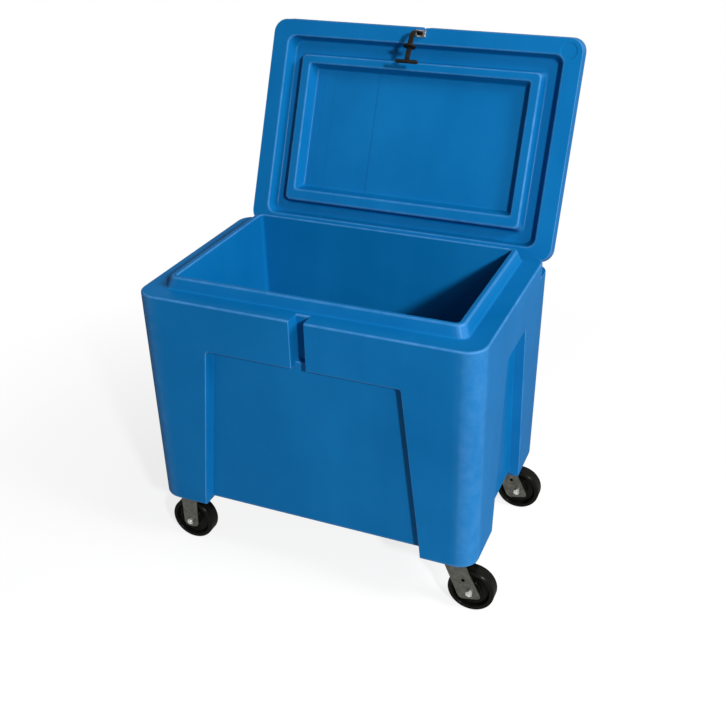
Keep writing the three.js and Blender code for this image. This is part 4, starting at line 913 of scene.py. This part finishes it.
def strap_grids():
    smooth, path = strap_path()
    band = swept_band(smooth, soft_section(STRAP_HALF_WIDTH, STRAP_HALF_THICK, 0.4))
    collar = disc_on_path(path, COLLAR_PATH_STEP, COLLAR_RADIUS, COLLAR_HALF_THICK)
    eye = bar_along_x(rod_section(path[0], EYE_RADIUS), -STRAP_HALF_WIDTH, STRAP_HALF_WIDTH, 1.5)
    grip = rod_section(path[-1], HANDLE_RADIUS)
    handle = bar_along_x(grip, -HANDLE_HALF_LENGTH, HANDLE_HALF_LENGTH, 3.0)
    return [placed(opened(grid)) for grid in (band, collar, eye, handle)]


strap = mesh_piece("strap", strap_grids(), strap_rubber, "latch_strap", ["latch_strap"])

# %% [markdown]
# The wheels are solid black tyres on a dished centre, turned about the axle. Each is drawn
# as a profile of radius and distance across, mirrored to the other face, with softened edges
# and two shallow moulded rings in the dish.

# %% Wheels
WHEEL_PROFILE = [
    (12.3, 26), (21.5, 26), (26.5, 8), (33, 8), (34.5, 9), (37, 9), (38.5, 8), (55, 8),
    (62, 25.4), (71, 25.4), (75.8, 20.4), (75.8, 0)]
WHEEL_STEPS = 96
WHEEL_EDGES = [0, 2.2, 3, 0.7, 0.7, 0.7, 0.7, 4, 2.6, 2.4, 3, 0]


def wheel_grid(centre):
    """The softened profile and its mirror image turned about y through the centre."""
    half = softened(WHEEL_PROFILE, WHEEL_EDGES, 4, [0, 1])
    profile = np.concatenate([half, half[-2::-1] * [1, -1], half[:1]])
    turn = np.linspace(0, 2 * math.pi, WHEEL_STEPS, endpoint=False)
    x = profile[:, :1] * np.cos(turn)
    z = profile[:, :1] * np.sin(turn)
    y = np.broadcast_to(profile[:, 1:], x.shape)
    return np.stack([x, y, z], -1) * MM + centre


for corner in ("front_left", "back_left", "front_right", "back_right"):
    wheel = "wheel_" + corner
    tyre = [wheel_grid(middle_of(wheel))]
    mesh_piece("tyre_" + corner, tyre, wheel_rubber, wheel, [wheel])

# %% [markdown]
# A pale floor and soft light. The big lamp stands to the right and in front, as the lit side
# of the box shows, and the white surroundings fill the rest.

# %% Floor, lamps and surroundings
FLOOR_PLAIN_SHARE = 0.8
FLOOR_HALF = 30.0
AIM = (0.0, -0.1, 0.7)


def add_floor():
    """A wide plane; what the camera sees of it is mostly plain white, wholly so away from
    the container, with the shadow kept near it."""
    half = FLOOR_HALF
    data = bpy.data.meshes.new("floor")
    corners = [(-half, -half, 0), (half, -half, 0), (half, half, 0), (-half, half, 0)]
    data.from_pydata(corners, [], [(0, 1, 2, 3)])
    finish = Finish("floor_paint", Roughness=0.9, Specular_IOR_Level=0.0)
    path = finish.tree.nodes.new("ShaderNodeLightPath")
    seen = Wire(finish, path.outputs["Is Camera Ray"]) + Wire(finish, path.outputs["Is Glossy Ray"])
    seen = (seen + Wire(finish, path.outputs["Is Transmission Ray"])).clipped()
    dust = finish.noise(3.0, 4.0, 0.5) * 0.04
    paint = finish.blend(dust, shade(0.38, 0.38, 0.38), shade(0.34, 0.335, 0.33))
    finish.finish_with(Base_Color=finish.blend(seen, paint, shade(1, 1, 1)))
    far = finish.ramp(finish.span_from((0.0, -0.1, 0.0)) * 0.25, (0.22, 0.0), (0.55, 1.0))
    plain = finish.add("ShaderNodeEmission", {}, {"Color": shade(1, 1, 1), "Strength": 1.0})
    plainness = seen * (far * (1 - FLOOR_PLAIN_SHARE) + FLOOR_PLAIN_SHARE)
    both = finish.add("ShaderNodeMixShader", {}, {0: plainness})
    mix = both.socket.node
    finish.tree.links.new(finish.surface.outputs[0], mix.inputs[1])
    finish.tree.links.new(plain.socket, mix.inputs[2])
    finish.tree.links.new(mix.outputs[0], finish.tree.nodes["Material Output"].inputs["Surface"])
    data.materials.append(finish.material)
    floor = bpy.data.objects.new("floor", data)
    bpy.context.scene.collection.objects.link(floor)


def add_lamp(name, right_degrees, up_degrees, distance, size, power):
    """A round lamp aimed at the container, from an angle right of the front and one above it."""
    right, up = math.radians(right_degrees), math.radians(up_degrees)
    sideways, forwards = math.sin(right) * math.cos(up), -math.cos(right) * math.cos(up)
    towards = Vector((sideways, forwards, math.sin(up)))
    data = bpy.data.lights.new(name, "AREA")
    data.shape = "DISK"
    data.size = size
    data.energy = power
    lamp = bpy.data.objects.new(name, data)
    lamp.location = Vector(AIM) + towards * distance
    lamp.rotation_euler = (-towards).to_track_quat("-Z", "Y").to_euler()
    bpy.context.scene.collection.objects.link(lamp)


def add_surroundings(level):
    world = bpy.data.worlds.new("surroundings")
    bpy.context.scene.world = world
    world.use_nodes = True
    tree = world.node_tree
    lit = tree.nodes["Background"]
    lit.inputs["Color"].default_value = shade(1, 1, 1)
    lit.inputs["Strength"].default_value = level
    seen = tree.nodes.new("ShaderNodeBackground")
    seen.inputs["Color"].default_value = shade(1, 1, 1)
    path = tree.nodes.new("ShaderNodeLightPath")
    total = path.outputs["Is Camera Ray"]
    for ray in ("Is Glossy Ray", "Is Transmission Ray"):
        both = tree.nodes.new("ShaderNodeMath")
        tree.links.new(total, both.inputs[0])
        tree.links.new(path.outputs[ray], both.inputs[1])
        both.use_clamp = True
        total = both.outputs[0]
    mix = tree.nodes.new("ShaderNodeMixShader")
    tree.links.new(total, mix.inputs[0])
    tree.links.new(lit.outputs[0], mix.inputs[1])
    tree.links.new(seen.outputs[0], mix.inputs[2])
    tree.links.new(mix.outputs[0], tree.nodes["World Output"].inputs["Surface"])


add_floor()
add_surroundings(level=0.2)
add_lamp("key", right_degrees=40.0, up_degrees=26.0, distance=7.0, size=0.5, power=440.0)
add_lamp("side", right_degrees=82.0, up_degrees=40.0, distance=8.0, size=3.0, power=500.0)
